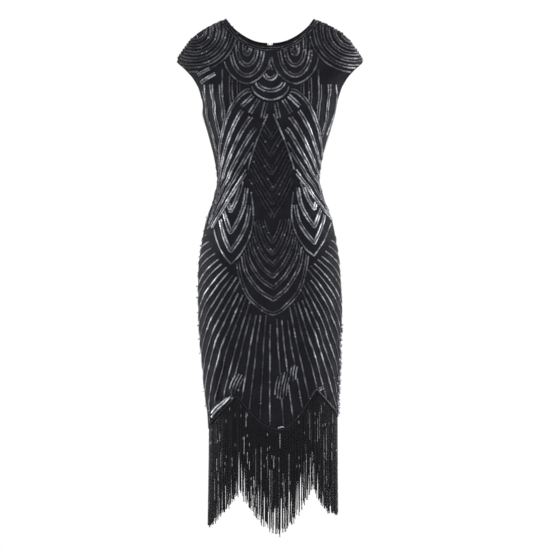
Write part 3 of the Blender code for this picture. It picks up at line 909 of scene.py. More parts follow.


# Each line's shine sets how bright its sequins' foil is: partly which sequins are black and which gunmetal,
# partly painted light and shade by region.
patternStyle = {
    "neckRows": {"depths": (0.0062, 0.0112), "shine": 0.12, "size": 0.72},
    "yoke": {
        "centres": (-0.0520, 0.0550), "level": -0.070,
        "sizes": ((0.0065, 0.014), (0.0215, 0.0385), (0.0355, 0.0620)),
        "outlineLevel": -0.091, "outline": (0.0515, 0.059), "power": 1.75, "shine": 0.29, "size": 1.12,
    },
    "drop": {
        "levels": (-0.128, -0.148, -0.157), "sizes": ((0.0125, 0.0115), (0.0290, 0.0175), (0.0405, 0.0295)),
        "pairs": (0.0030, 0.0032, 0), "power": 1.8, "shine": 0.55,
    },
    "peak": {
        "line": ((-0.0042, -0.1195), (-0.0018, -0.112), (0, -0.107), (0.0018, -0.112), (0.0042, -0.1195)),
        "shine": 0.35, "size": 0.8,
    },
    "shoulder": {
        "centres": (-0.1690, 0.1820), "level": -0.027, "radii": (0.024, 0.0385, 0.053, 0.0675, 0.082),
        "outline": 0.0945, "outlineSize": 1.1, "shine": 0.18, "size": 1.12,
    },
    # short bars below the right armhole, in front, from end to end
    "underarm": {
        "bars": (((-0.1620, -0.1285), (-0.1360, -0.1155)), ((-0.1550, -0.1460), (-0.1235, -0.1270))),
        "pair": 0.0022, "shine": 0.95,
    },
    "sideBust": {
        "starts": (0.071, 0.088, 0.110, 0.131, 0.149), "shine": (0.16, 0.16, 0.26, 0.70, 0.42),
        "levels": (-0.112, -0.360), "widest": 0.155, "tops": (-0.118, -0.150), "outer": 0.112,
    },
    "lozenge": {"levels": (-0.218, -0.340), "shine": {-1: 0.40, 1: 0.80}},
    "fountain": {
        # from a line's top to its end, first and last line
        "tops": ((0.034, -0.166), (0.034, -0.313)), "ends": ((0.117, -0.363), (0.138, -0.467)),
        "bulge": 0.093, "lowest": -0.462, "seamShare": 0.985, "shine": (0.36, 0.50, 0.50, 0.42, 0.30, 0.74),
        "rayCentre": -0.140, "rayRadii": (0.054, 0.072, 0.088, 0.094),
        "rays": ((47, 0.80), (31, 0.55), (12, 0.25)),  # degrees, and shine that holds painted light
    },
    "chevrons": {
        "bottoms": (-0.270, -0.306, -0.348, -0.382, -0.414, -0.444),
        "half": 0.046, "rise": 0.083, "pair": 0.0036, "size": 1.1, "shine": 0.05,
        "inset": 0.004, "overlap": 0.008, "overlapLevel": -0.35,
    },
    "hipPetals": {
        "centre": 0.0925, "bottoms": (-0.430, -0.474, -0.513), "widths": (0.030, 0.036, 0.042),
        "outline": -0.5415, "half": 0.048, "rise": 0.075, "highest": -0.36, "pair": 0.0029, "shine": 0.62,
        "outlineShine": 0.7, "innerEdge": 0.040, "innerSlope": 0.25, "innerLevel": -0.45,
    },
    "centrePetal": {
        "bottoms": (-0.502, -0.528, -0.553, -0.579, -0.604, -0.630),
        "halves": (0.028, 0.036, 0.044, 0.051, 0.059, 0.067),
        "outline": -0.662, "half": 0.078, "rise": 0.125, "highest": -0.452, "pair": 0.0029, "shine": 0.18,
        "shineLevels": (-0.62, -0.55), "shineShares": (1.2, 0.5),
    },
    "fan": {
        "centre": -0.475, "reach": (0.06, 0.62), "bend": 0.45, "bendFrom": 0.10, "lowest": -0.95,
        "away": (0.006, 0.005), "shine": 0.27, "shineSteps": (0.45, 1.15), "outer": 45, "outerShine": 1.25,
        "angles": (
            2.0, 5.1, 8.7, 11.7, 15.5, 18.6, 22.4, 25.6, 29.6, 33.4,
            38.0, 42.2, 47.4, 52.2, 58.0, 63.6, 70.4, 77.0, 84.0, 91.0,
        ),
    },
    "hemRows": {"depths": (0.0045,), "shine": 0.06, "size": 0.9, "ends": 0.9985},
}


patternGaps = {
    "shoulder": 0.004, "yoke": 0.0022, "besideYoke": 0.004, "drop": 0.005, "guide": 0.0045,
    "petal": 0.004, "fanPetal": 0.007, "hip": 0.007,
}


def fromNearest(across, centres):
    return np.minimum(np.abs(across - centres[0]), np.abs(across - centres[1]))


def insideYoke(across, height, margin=0.0):
    yoke = patternStyle["yoke"]
    wide, deep = yoke["outline"]
    off = fromNearest(across, yoke["centres"]) / (wide + margin)
    down = np.maximum(0, yoke["outlineLevel"] - height) / (deep + margin)
    return (off ** yoke["power"] + down ** yoke["power"] < 1) & ~insideShoulder(across, height, -margin)


def insideShoulder(across, height, margin=0.0):
    shoulder = patternStyle["shoulder"]
    off = fromNearest(across, shoulder["centres"])
    return np.hypot(off, height - shoulder["level"]) < shoulder["outline"] + margin


def insideDrop(across, height, margin=0.0):
    wide, deep = patternStyle["drop"]["sizes"][-1]
    down = np.maximum(0, patternStyle["drop"]["levels"][-1] - height) / (deep + margin)
    return (np.abs(across) / (wide + margin)) ** 2 + down**2 < 1


def fountainLine(share):
    fountain = patternStyle["fountain"]
    tops, ends = np.array(fountain["tops"]), np.array(fountain["ends"])
    top = tops[0] + (tops[1] - tops[0]) * share**1.1
    end = ends[0] + (ends[1] - ends[0]) * share
    out = np.array([top[1] - end[1], end[0] - top[0]])
    out /= np.hypot(*out)
    t = np.linspace(0, 1.15, 36)[:, None]
    bulge = fountain["bulge"] * (1 - share) ** 2.2 * np.sqrt(t) * (1 - t)
    return top + (end - top) * t + out * bulge


outerGuide = fountainLine(0.0)
innerGuide = fountainLine(1.0)


def guideAt(guide, height):
    return np.interp(-height, -guide[:, 1], guide[:, 0])


# The dark lozenge down the middle: how far below the shoulder, and half the width
lozengeRows = np.array([
    (0.212, 0.004), (0.245, 0.018), (0.276, 0.031), (0.306, 0.041), (0.337, 0.051),
    (0.365, 0.050), (0.400, 0.038), (0.440, 0.016), (0.462, 0.0),
])


def lozengeEdge(height):
    return np.interp(-height, *lozengeRows.T)


def insideHipPetal(across, height, margin=0.0):
    petal = patternStyle["hipPetals"]
    risen = np.clip((height - petal["outline"] + margin) / petal["rise"], 0, 1)
    reach = petal["half"] * risen**0.62 + margin * (risen > 0)
    return (np.abs(np.abs(across) - petal["centre"]) < reach) & (height < petal["highest"])


def insideCentrePetal(across, height, margin=0.0):
    petal = patternStyle["centrePetal"]
    risen = np.clip((height - petal["outline"] + margin) / petal["rise"], 0, 1)
    return np.abs(across) < petal["half"] * risen**0.60 + margin * (risen > 0)


def layYoke(side):
    yoke, drop, shoulder, neck, underarm, peak = (
        patternStyle[key] for key in ("yoke", "drop", "shoulder", "neckRows", "underarm", "peak")
    )
    for depth in neck["depths"]:
        across = np.linspace(-1, 1, 241) * (bodyForm["neckHalf"] - 0.0006)
        height = neckline(across, side)
        slope = np.gradient(height, across)
        tilt = np.sqrt(1 + slope**2)
        points = np.stack([across + slope / tilt * depth, height - depth / tilt], -1)
        points[:, 0] -= patternDrift(points[:, 1], side)
        addLine(points, side, neck["shine"], pair=0, size=neck["size"], smooth=False)
    gaps = patternGaps
    outsideShoulder = lambda across, height: ~insideShoulder(across, height, gaps["shoulder"])
    for ends in underarm["bars"] if side < 0 else ():
        addLine(ends, side, underarm["shine"], pair=underarm["pair"])
    for centre in shoulder["centres"]:
        place = (centre, shoulder["level"])
        arc = arcPoints(place, shoulder["outline"], shoulder["outline"], -100, 100, 90)
        addLine(arc, side, shoulder["shine"], pair=0, size=shoulder["outlineSize"])
    for mirror, centre in zip((-1, 1), yoke["centres"]):
        wide, deep = yoke["outline"]
        arc = arcPoints((centre, yoke["outlineLevel"]), wide, deep, -90, 90, 70, yoke["power"])
        ownHalf = lambda across, height: outsideShoulder(across, height) & (across * mirror > 0.0004)
        addLine(arc, side, yoke["shine"], pair=0, keep=ownHalf)
        for wide, deep in yoke["sizes"]:
            arc = arcPoints((centre, yoke["level"]), wide, deep, -90, 90, 40)
            line = np.concatenate([[(arc[0][0], 0.0)], arc, [(arc[-1][0], 0.0)]])
            addLine(line, side, yoke["shine"], keep=outsideShoulder, size=yoke["size"])
    for centre in shoulder["centres"]:
        for radius in reversed(shoulder["radii"]):
            arc = arcPoints((centre, shoulder["level"]), radius, radius, -120, 120, 70)
            addLine(arc, side, shoulder["shine"], size=shoulder["size"])
    clear = lambda across, height: ~insideYoke(across, height, gaps["yoke"])
    for level, (wide, deep), pair in zip(drop["levels"], drop["sizes"], drop["pairs"]):
        arc = arcPoints((0, level), wide, deep, -90, 90, 50, drop["power"])
        addLine(arc, side, drop["shine"], pair=pair, keep=clear)
    addLine(peak["line"], side, peak["shine"], pair=0, size=peak["size"])


def layBodice(side):
    bust, fountain, lozenge = (patternStyle[key] for key in ("sideBust", "fountain", "lozenge"))
    gaps = patternGaps
    free = lambda across, height: ~(
        insideShoulder(across, height, gaps["shoulder"]) | insideYoke(across, height, gaps["besideYoke"])
    )
    apart = lambda across, height: ~insideDrop(across, height, gaps["drop"]) & (
        np.abs(across) > lozengeEdge(height) + gaps["guide"]
    )
    for mirror in (-1, 1):
        edge = np.linspace(*lozenge["levels"], 12)
        addLine(np.stack([mirror * lozengeEdge(edge), edge], -1), side, lozenge["shine"][mirror], pair=0)
        near, middle, far, clearRays = fountain["rayRadii"]
        for k in (0, 5, 1, 2, 3, 4):
            line = fountainLine(k / 5) * (mirror, 1)
            out = mirror * (line[:, 0] + patternDrift(line[:, 1], side)) / halfWidth(line[:, 1])
            beyondSeam = np.flatnonzero(out > fountain["seamShare"])
            line = line[:beyondSeam[0] + 1] if len(beyondSeam) else line
            radius = clearRays if k else 0.0
            below = lambda across, height: apart(across, height) & (height > fountain["lowest"]) & (
                np.hypot(across, height - fountain["rayCentre"]) > radius
            )
            addLine(line, side, fountain["shine"][k], widen=-0.003, keep=below)
        for angle, shine in fountain["rays"]:
            turn = math.radians(angle)
            way = np.array([mirror * math.sin(turn), -math.cos(turn)])
            centre = np.array([0, fountain["rayCentre"]])
            addLine([centre + way * radius for radius in (near, middle, far)], side, shine)
        for start, shine in zip(bust["starts"], bust["shine"]):
            height = np.linspace(*bust["levels"], 12)
            across = start * np.minimum(halfWidth(height), bust["widest"]) / bust["widest"]
            beside = lambda across, height: (
                free(across, height) & (np.abs(across) > guideAt(outerGuide, height) + gaps["guide"])
                & (height < np.where(np.abs(across) > bust["outer"], *reversed(bust["tops"])))
            )
            addLine(np.stack([mirror * across, height], -1), side, shine, keep=beside)


# Short rows along the side seams: mirror, top, foot, share of the half width, and shine that holds painted
# light
sideRows = (
    (1, -0.152, -0.262, 0.988, 0.85), (1, -0.350, -0.448, 0.975, 0.42),
    (-1, -0.205, -0.262, 0.985, 0.50), (-1, -0.345, -0.452, 0.978, 0.55),
)


def laySides(side):
    for mirror, top, foot, share, shine in sideRows:
        height = np.linspace(top, foot, 12)
        across = mirror * share * halfWidth(height) - patternDrift(height, side) + shift(height)
        addLine(np.stack([across, height], -1), side, shine, pair=0.0020)


# Across from the middle and up from the lowest point
chevronLine = np.array([(1.0, 1.0), (0.52, 0.48), (0.10, 0.085)])
petalLine = np.array([(1.0, 0.110), (0.88, 0.066), (0.48, 0.024), (0.08, 0.003)])
petalOutline = np.array([
    (0.079, 0.140), (0.076, 0.110), (0.0685, 0.075), (0.053, 0.040), (0.020, 0.0085), (0.004, 0.001),
])
hipLine = np.array([
    (-1.0, 0.092), (-0.82, 0.055), (-0.44, 0.024), (-0.09, 0.004),
    (0, 0), (0.08, 0.006), (0.32, 0.030), (0.56, 0.066),
])
hipOutline = np.array([
    (-0.046, 0.150), (-0.050, 0.100), (-0.042, 0.058), (-0.022, 0.020), (-0.003, 0.002),
    (0, 0), (0.003, 0.003), (0.020, 0.028), (0.034, 0.062), (0.040, 0.095),
])


def bothArms(arm, bottom):
    return np.concatenate([arm * (-1, 1), [(0, 0)], arm[::-1]]) + (0, bottom)


def layCentre(side):
    chevrons, hips, petal = patternStyle["chevrons"], patternStyle["hipPetals"], patternStyle["centrePetal"]
    for bottom in chevrons["bottoms"]:
        line = bothArms(chevronLine * (chevrons["half"], chevrons["rise"]), bottom)
        within = lambda across, height: np.abs(across) < lozengeEdge(height) - chevrons["inset"] + (
            chevrons["overlap"] * (height < chevrons["overlapLevel"])
        )
        addLine(line, side, chevrons["shine"], pair=chevrons["pair"], size=chevrons["size"], keep=within)
    for mirror in (-1, 1):
        centre = hips["centre"]
        beneath = lambda across, height: np.abs(across) < guideAt(innerGuide, height) - patternGaps["hip"]
        outline = (hipOutline + (centre, hips["outline"])) * (mirror, 1)
        addLine(outline, side, hips["shine"] * hips["outlineShine"], pair=0, keep=beneath)
        innerLine = lambda height: (
            hips["innerEdge"] - hips["innerSlope"] * np.maximum(0, hips["innerLevel"] - height)
        )
        apart = lambda across, height: beneath(across, height) & (np.abs(across) > innerLine(height))
        for bottom, wide in zip(reversed(hips["bottoms"]), reversed(hips["widths"])):
            line = (hipLine * (wide, 1) + (centre, bottom)) * (mirror, 1)
            addLine(line, side, hips["shine"], pair=hips["pair"], keep=apart)
    clear = lambda across, height: (
        ~insideHipPetal(across, height, patternGaps["petal"]) & (height < petal["highest"])
    )
    outline = bothArms(petalOutline, petal["outline"])
    addLine(outline, side, petal["shine"], pair=petal["pair"], keep=clear)
    for bottom, half in zip(petal["bottoms"], petal["halves"]):
        line = bothArms(petalLine * (half, 1), bottom)
        shine = petal["shine"] * np.interp(bottom, petal["shineLevels"], petal["shineShares"])
        addLine(line, side, shine, pair=petal["pair"], keep=clear)


def laySkirt(side):
    fan, hemRows = patternStyle["fan"], patternStyle["hemRows"]
    for depth in hemRows["depths"]:
        u = np.linspace(-hemRows["ends"], hemRows["ends"], 700)
        height = lowerEdge(hemShape, u)
        across = np.sign(u) * halfWidth(height) * np.sin(np.radians(90 * np.abs(u))) ** (2 / roundness)
        run = runOf(across, height, side)
        along = unit(np.stack([np.gradient(run), np.gradient(height)], -1))
        run, height = run - along[:, 1] * depth, height + along[:, 0] * depth
        addRow(run, height, side, hemRows["shine"], hemRows["size"])
    if side < 0:
        layHemPatches()
    centreRun = float(patternDrift(np.array([-0.6]), side)[0])
    for mirror in (-1, 1):
        for k, degrees in enumerate(fan["angles"]):
            angle = math.radians(degrees)
            reach = np.linspace(*fan["reach"], 300)
            bend = angle * (1 - fan["bend"] * angle * np.clip(reach - fan["bendFrom"], 0, 1))
            run = centreRun + mirror * reach * np.sin(bend)
            height = fan["centre"] - reach * np.cos(bend)
            inReach = height > fan["lowest"]
            away = fan["away"][0] + fan["away"][1] * ((k * 5 + mirror) % 4)
            clear = lambda across, height: ~(
                insideHipPetal(across, height, patternGaps["fanPetal"])
                | insideCentrePetal(across, height, away)
            )
            dull, brighter = fan["shineSteps"]
            shine = fan["shine"] * (dull + brighter * ((k * 7 + 2 * mirror) % 5) / 4)
            shine *= fan["outerShine"] if degrees > fan["outer"] else 1
            line = np.stack([run[inReach], height[inReach]], -1)
            addLine(line, side, shine, pair=0, unrolled=True, smooth=False, keep=clear)


# Creased patches above the hem where rows crowd, their sequins painted bright as highlights on the creases,
# and two small clusters painted as glints: middle, length, spacing of rows, count, angle, shine
hemPatches = (
    (-0.1170, -0.8620, 0.064, 0.0052, 5, 46, 1.6),
    (-0.0850, -0.8090, 0.044, 0.0060, 4, 66, 0.42),
    (0.0150, -0.8240, 0.060, 0.0064, 5, 78, 0.36),
    (0.0420, -0.7980, 0.036, 0.0060, 3, 82, 0.40),
    (0.0990, -0.8420, 0.022, 0.0048, 2, 24, 1.3),
    (0.0100, -0.9190, 0.018, 0.0046, 2, 2, 1.2),
)


def layHemPatches():
    for run, height, length, spacing, count, angle, shine in hemPatches:
        turn = math.radians(angle)
        way = np.array([math.cos(turn), math.sin(turn)])
        for k in range(count):
            off = (k - (count - 1) / 2) * spacing
            middle = np.array([run, height]) + off * np.array([way[1], -way[0]])
            half = length / 2 * (1 - 0.5 * (off / (count * spacing / 2)) ** 2)
            bow = 0.0015 * np.array([-way[1], way[0]])
            line = [middle + way * half, middle + bow, middle - way * half]
            addLine(line, -1, shine * (1 - 0.25 * (k % 2)), pair=0)


for side in (-1, 1):
    layYoke(side)
    layBodice(side)
    if side < 0:
        laySides(side)
    layCentre(side)
    laySkirt(side)
print("sequin rows laid:", len(rowsLaid))


# One sequin and one bugle bead, modelled once
def clearSelection():
    if bpy.context.mode != "OBJECT":
        bpy.ops.object.mode_set(mode="OBJECT")
    bpy.ops.object.select_all(action="DESELECT")


def selectPoints(thing, wanted):
    bpy.ops.mesh.select_all(action="DESELECT")
    form = bmesh.from_edit_mesh(thing.data)
    for vertex in form.verts:
        vertex.select = wanted(vertex)
    form.select_flush_mode()
    bmesh.update_edit_mesh(thing.data)


def selectFaces(thing, wanted):
    bpy.ops.mesh.select_all(action="DESELECT")
    form = bmesh.from_edit_mesh(thing.data)
    for face in form.faces:
        face.select = wanted(face)
    bmesh.update_edit_mesh(thing.data)


def takeShape(thing):
    mesh = thing.data
    points = np.empty(len(mesh.vertices) * 3)
    mesh.vertices.foreach_get("co", points)
    mesh.calc_loop_triangles()
    faces = np.empty(len(mesh.loop_triangles) * 3, np.int32)
    mesh.loop_triangles.foreach_get("vertices", faces)
    bpy.data.objects.remove(thing)
    return points.reshape(-1, 3), faces.reshape(-1, 3)


sequinStyle = {
    "radius": 0.0024, "dish": 0.00035, "pitch": 0.0026, "lift": 0.0009, "clear": 0.0033,
    "tilt": 15.0, "waveTilt": 3, "jitter": 3.5, "rollMore": 1.3, "sizeUneven": 0.03,  # degrees and share
    "waves": ((62, 1.0), (117, 1.0), (230, 0.6)), "waveRange": (0.9, 2.6), "rowShine": (0.7, 1.2),
    "glint": (0.32, 1.22), "glintUneven": 0.10, "sparks": 0.012, "sparkGlint": 0.45,
    "looseSteps": {-1: 0.0300, 1: 0.0022}, "looseTops": {-1: -0.420, 1: -0.690}, "looseEnd": -0.895,
    "looseLift": 0.0030, "looseInset": 0.0030, "looseSpread": 0.0110, "looseTurn": 0.24,
    "looseGlint": (0.7, 1.8),
}
cellSize = 0.0035  # of the grid that finds near sequins


def modelSequin():
    clearSelection()
    bpy.ops.mesh.primitive_cone_add(
        vertices=6, radius1=sequinStyle["radius"], radius2=0, depth=sequinStyle["dish"],
        location=(0, 0, sequinStyle["dish"] / 2), end_fill_type="TRIFAN",
    )
    thing = bpy.context.object
    bpy.ops.object.transform_apply(location=True)
    bpy.ops.object.mode_set(mode="EDIT")
    selectPoints(thing, lambda vertex: abs(vertex.co.z) < 1e-7 and vertex.co.xy.length < 1e-7)
    bpy.ops.transform.translate(value=(0, 0, sequinStyle["dish"] * 0.45))
    bpy.ops.object.mode_set(mode="OBJECT")
    return takeShape(thing)


beadStyle = {"length": 0.0064, "radius": 0.00100, "taper": 0.86, "gap": 0.0002, "sides": 5, "thread": 0.00036}


def modelBead():
    clearSelection()
    bpy.ops.mesh.primitive_cylinder_add(
        vertices=beadStyle["sides"], radius=beadStyle["radius"], depth=beadStyle["length"],
        end_fill_type="NGON",
    )
    thing = bpy.context.object
    bpy.ops.object.mode_set(mode="EDIT")
    selectPoints(thing, lambda vertex: vertex.co.z < 0)
    bpy.ops.transform.resize(value=(beadStyle["taper"], beadStyle["taper"], 1.0))
    bpy.ops.object.mode_set(mode="OBJECT")
    return takeShape(thing)


sequinShape = modelSequin()
beadShape = modelBead()


def joinedCopies(name, shape, places, frames, sizes, material, **attributes):
    points, faces = shape
    count = len(places)
    spread = np.einsum("pk,nkj->npj", points, frames) * sizes[:, None, None] + places[:, None]
    corners = (faces[None] + (np.arange(count) * len(points))[:, None, None]).reshape(-1)
    mesh = bpy.data.meshes.new(name)
    mesh.vertices.add(count * len(points))
    mesh.vertices.foreach_set("co", spread.ravel())
    mesh.loops.add(len(corners))
    mesh.loops.foreach_set("vertex_index", corners)
    mesh.polygons.add(len(corners) // 3)
    mesh.polygons.foreach_set("loop_start", np.arange(0, len(corners), 3))
    mesh.update(calc_edges=True)
    mesh.validate()
    for key, values in attributes.items():
        layer = mesh.attributes.new(key, "FLOAT", "POINT")
        layer.data.foreach_set("value", np.repeat(values, len(points)))
    return linkPiece(name, mesh, material)


def spacedAlong(row):
    fine = np.linspace(0, 1, max(8, 6 * len(row["run"])))
    coarse = np.linspace(0, 1, len(row["run"]))
    run = np.interp(fine, coarse, row["run"])
    height = np.interp(fine, coarse, row["height"])
    points = skinPoint(acrossOf(run, height, row["side"]), height, row["side"])
    length = np.concatenate([[0], np.cumsum(np.linalg.norm(np.diff(points, axis=0), axis=1))])
    pitch = sequinStyle["pitch"] * row["size"]
    count = int(length[-1] / pitch)
    if count < 2:
        return None
    stops = (np.arange(count) + 0.5) * length[-1] / count
    return np.interp(stops, length, run), np.interp(stops, length, height)


def crowded(place, cell, number, apart, taken):
    for step in itertools.product((-1, 0, 1), repeat=3):
        for other, owner in taken.get((cell[0] + step[0], cell[1] + step[1], cell[2] + step[2]), ()):
            if owner != number and np.linalg.norm(other - place) < apart:
                return True
    return False


def laySequins():
    taken = {}
    gathered = {"front": [], "backLeft": [], "backRight": [], "leftSleeve": [], "rightSleeve": []}
    for number, row in enumerate(rowsLaid):
        spaced = spacedAlong(row)
        if spaced is None:
            continue
        run, height = spaced
        side = row["side"]
        point, normal, _ = clothFrame(run, height, side)
        along = np.gradient(point, axis=0)
        along = unit(along - normal * np.sum(along * normal, -1, keepdims=True))
        # A slow wave along each row tilts its sequins a little and also paints brighter runs into their foil
        # as painted highlights.
        far = np.arange(len(run)) * sequinStyle["pitch"]
        phase = chance.uniform(0, 2 * math.pi, 3)
        wave = 0
        for (turn, part), start in zip(sequinStyle["waves"], phase):
            wave = wave + part * np.sin(far * turn + start)
        rowShine = row["shine"] * chance.uniform(*sequinStyle["rowShine"])
        across = acrossOf(run, height, side)
        # Rows with a value under 0.9 turn darker within 5 cm above the hem.
        aboveHem = height - lowerEdge(hemShape, placeOf(across, height))
        dimmed = rowShine * (np.clip(aboveHem / 0.05, 0.25, 1) if row["shine"] < 0.9 else 1 + 0 * height)
        onSleeve = pastArmhole(across, height)
        apart = sequinStyle["clear"] * row["size"]
        for i, place in enumerate(point):
            cell = tuple(np.floor(place / cellSize).astype(int))
            if crowded(place, cell, number, apart, taken):
                continue
            taken.setdefault(cell, []).append((place, number))
            if onSleeve[i]:
                piece = "leftSleeve" if across[i] > 0 else "rightSleeve"
            elif side < 0:
                piece = "front"
            else:
                piece = "backLeft" if across[i] > 0 else "backRight"
            gathered[piece].append((place, normal[i], along[i], dimmed[i], row["size"], wave[i]))
    addLooseSequins(gathered)
    return gathered


# A few stand out from the side seams and face the front, their foil painted bright as glints along the edge
def addLooseSequins(gathered):
    for sign in (-1, 1):
        top, step = sequinStyle["looseTops"][sign], sequinStyle["looseSteps"][sign]
        height = np.arange(top, sequinStyle["looseEnd"], -step)
        height = height + chance.normal(0, 0.002, len(height))
        low = float(lowerEdge(hemShape, sign)) + 0.004
        height = height[height > low]
        inward = np.abs(chance.normal(0, sequinStyle["looseSpread"], len(height)))
        run = sign * (fullRun(height, -1) - sequinStyle["looseInset"] - inward)
        point, normal, _ = clothFrame(run, height, -1)
        for i, place in enumerate(point):
            lifted = place + normal[i] * sequinStyle["looseLift"] * chance.uniform(0.2, 1.2)
            facing = np.array([0.12 * sign, -1.0, 0.25]) + chance.normal(0, sequinStyle["looseTurn"], 3)
            facing = unit(facing)
            along = unit(np.cross(facing, normal[i]))
            shine = chance.uniform(*sequinStyle["looseGlint"])
            gathered["front"].append((lifted, facing, along, shine, 1.0, 0.8))


def placeSequins(name, found):
    place, normal, along = (np.array([item[k] for item in found]) for k in range(3))
    shine, size, wave = (np.array([item[k] for item in found]) for k in range(3, 6))
    count = len(place)
    jitter = sequinStyle["jitter"]
    tilt = sequinStyle["tilt"] + sequinStyle["waveTilt"] * wave + chance.normal(0, jitter, count)
    roll = np.radians(chance.normal(0, jitter * sequinStyle["rollMore"], count))
    tilt = np.radians(tilt)
    spin = chance.uniform(0, math.pi, count)
    side = np.cross(normal, along)
    tilted = unit(normal * np.cos(tilt)[:, None] - along * np.sin(tilt)[:, None])
    tilted = unit(tilted * np.cos(roll)[:, None] + side * np.sin(roll)[:, None])
    first = unit(along - tilted * np.sum(along * tilted, -1, keepdims=True))
    second = np.cross(tilted, first)
    turned = first * np.cos(spin)[:, None] + second * np.sin(spin)[:, None]
    frames = np.stack([turned, np.cross(tilted, turned), tilted], 1)
    # Painted highlights: the foil is brighter where the wave rises, and a few random sparks are painted
    # glints.
    lowest, span = sequinStyle["waveRange"]
    rise = np.clip((wave + lowest) / span, 0, 1)
    dull, brighter = sequinStyle["glint"]
    uneven = 1 + chance.normal(0, sequinStyle["glintUneven"], count)
    glint = shine * (dull + brighter * smoothStep(rise)) * uneven
    sparks = chance.uniform(0, 1, count) < sequinStyle["sparks"]
    glint = np.clip(np.where(sparks, glint + sequinStyle["sparkGlint"], glint), 0.01, 1)
    size = size * chance.normal(1, sequinStyle["sizeUneven"], count)
    raised = place + normal * sequinStyle["lift"]
    piece = joinedCopies(name, sequinShape, raised, frames, size, sequinMaterial, shine=glint)
    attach(piece, "dress")
    return piece


sequinPieces = {name: placeSequins(name + "Sequins", found) for name, found in laySequins().items() if found}
for name, piece in sequinPieces.items():
    print("sequins placed:", name, len(piece.data.vertices) // len(sequinShape[0]))


# Bead fringe below the hem, with a thread through each strand and a thicker one behind it
fringeStyle = {
    "spacing": 0.0023, "sunk": 0.0011, "uneven": 0.0055, "longest": 0.24, "firstBead": 0.003,
    "sway": 0.0036, "swayAcross": 0.45, "swayInward": 0.4, "clump": 0.0019, "bow": (1.6, 1.4),
    "axisUneven": 0.00018, "spinUneven": 0.10, "sizeUneven": 0.025,
    "silverRuns": 0.62, "runGlint": (0.08, 0.80), "silverDots": 0.010, "dotGlint": (0.10, 0.50),
    "threadStops": 7, "threadTurns": (0, 2.094, 4.189),
    "liningStops": 6, "liningTurns": (0, 1.571, 3.142, 4.712), "liningFlat": 0.7,
    "liningSunk": 0.0030, "liningThread": 0.0011, "liningShort": 0.036,
}


def ringAround(middle, right, out, wide, turns, flat=1.0):
    return [middle + wide * (right * math.cos(turn) + out * math.sin(turn) * flat) for turn in turns]


def addTube(points, faces, rings):
    first, around = len(points), len(rings[0])
    for ring in rings:
        points += ring
    last = len(points) - around
    for start in range(first, last, around):
        end = start + around
        for j in range(around):
            k = (j + 1) % around
            faces.append((start + j, start + k, end + k, end + j))
    faces.append(tuple(range(first + around - 1, first - 1, -1)))
    faces.append(tuple(range(last, last + around)))


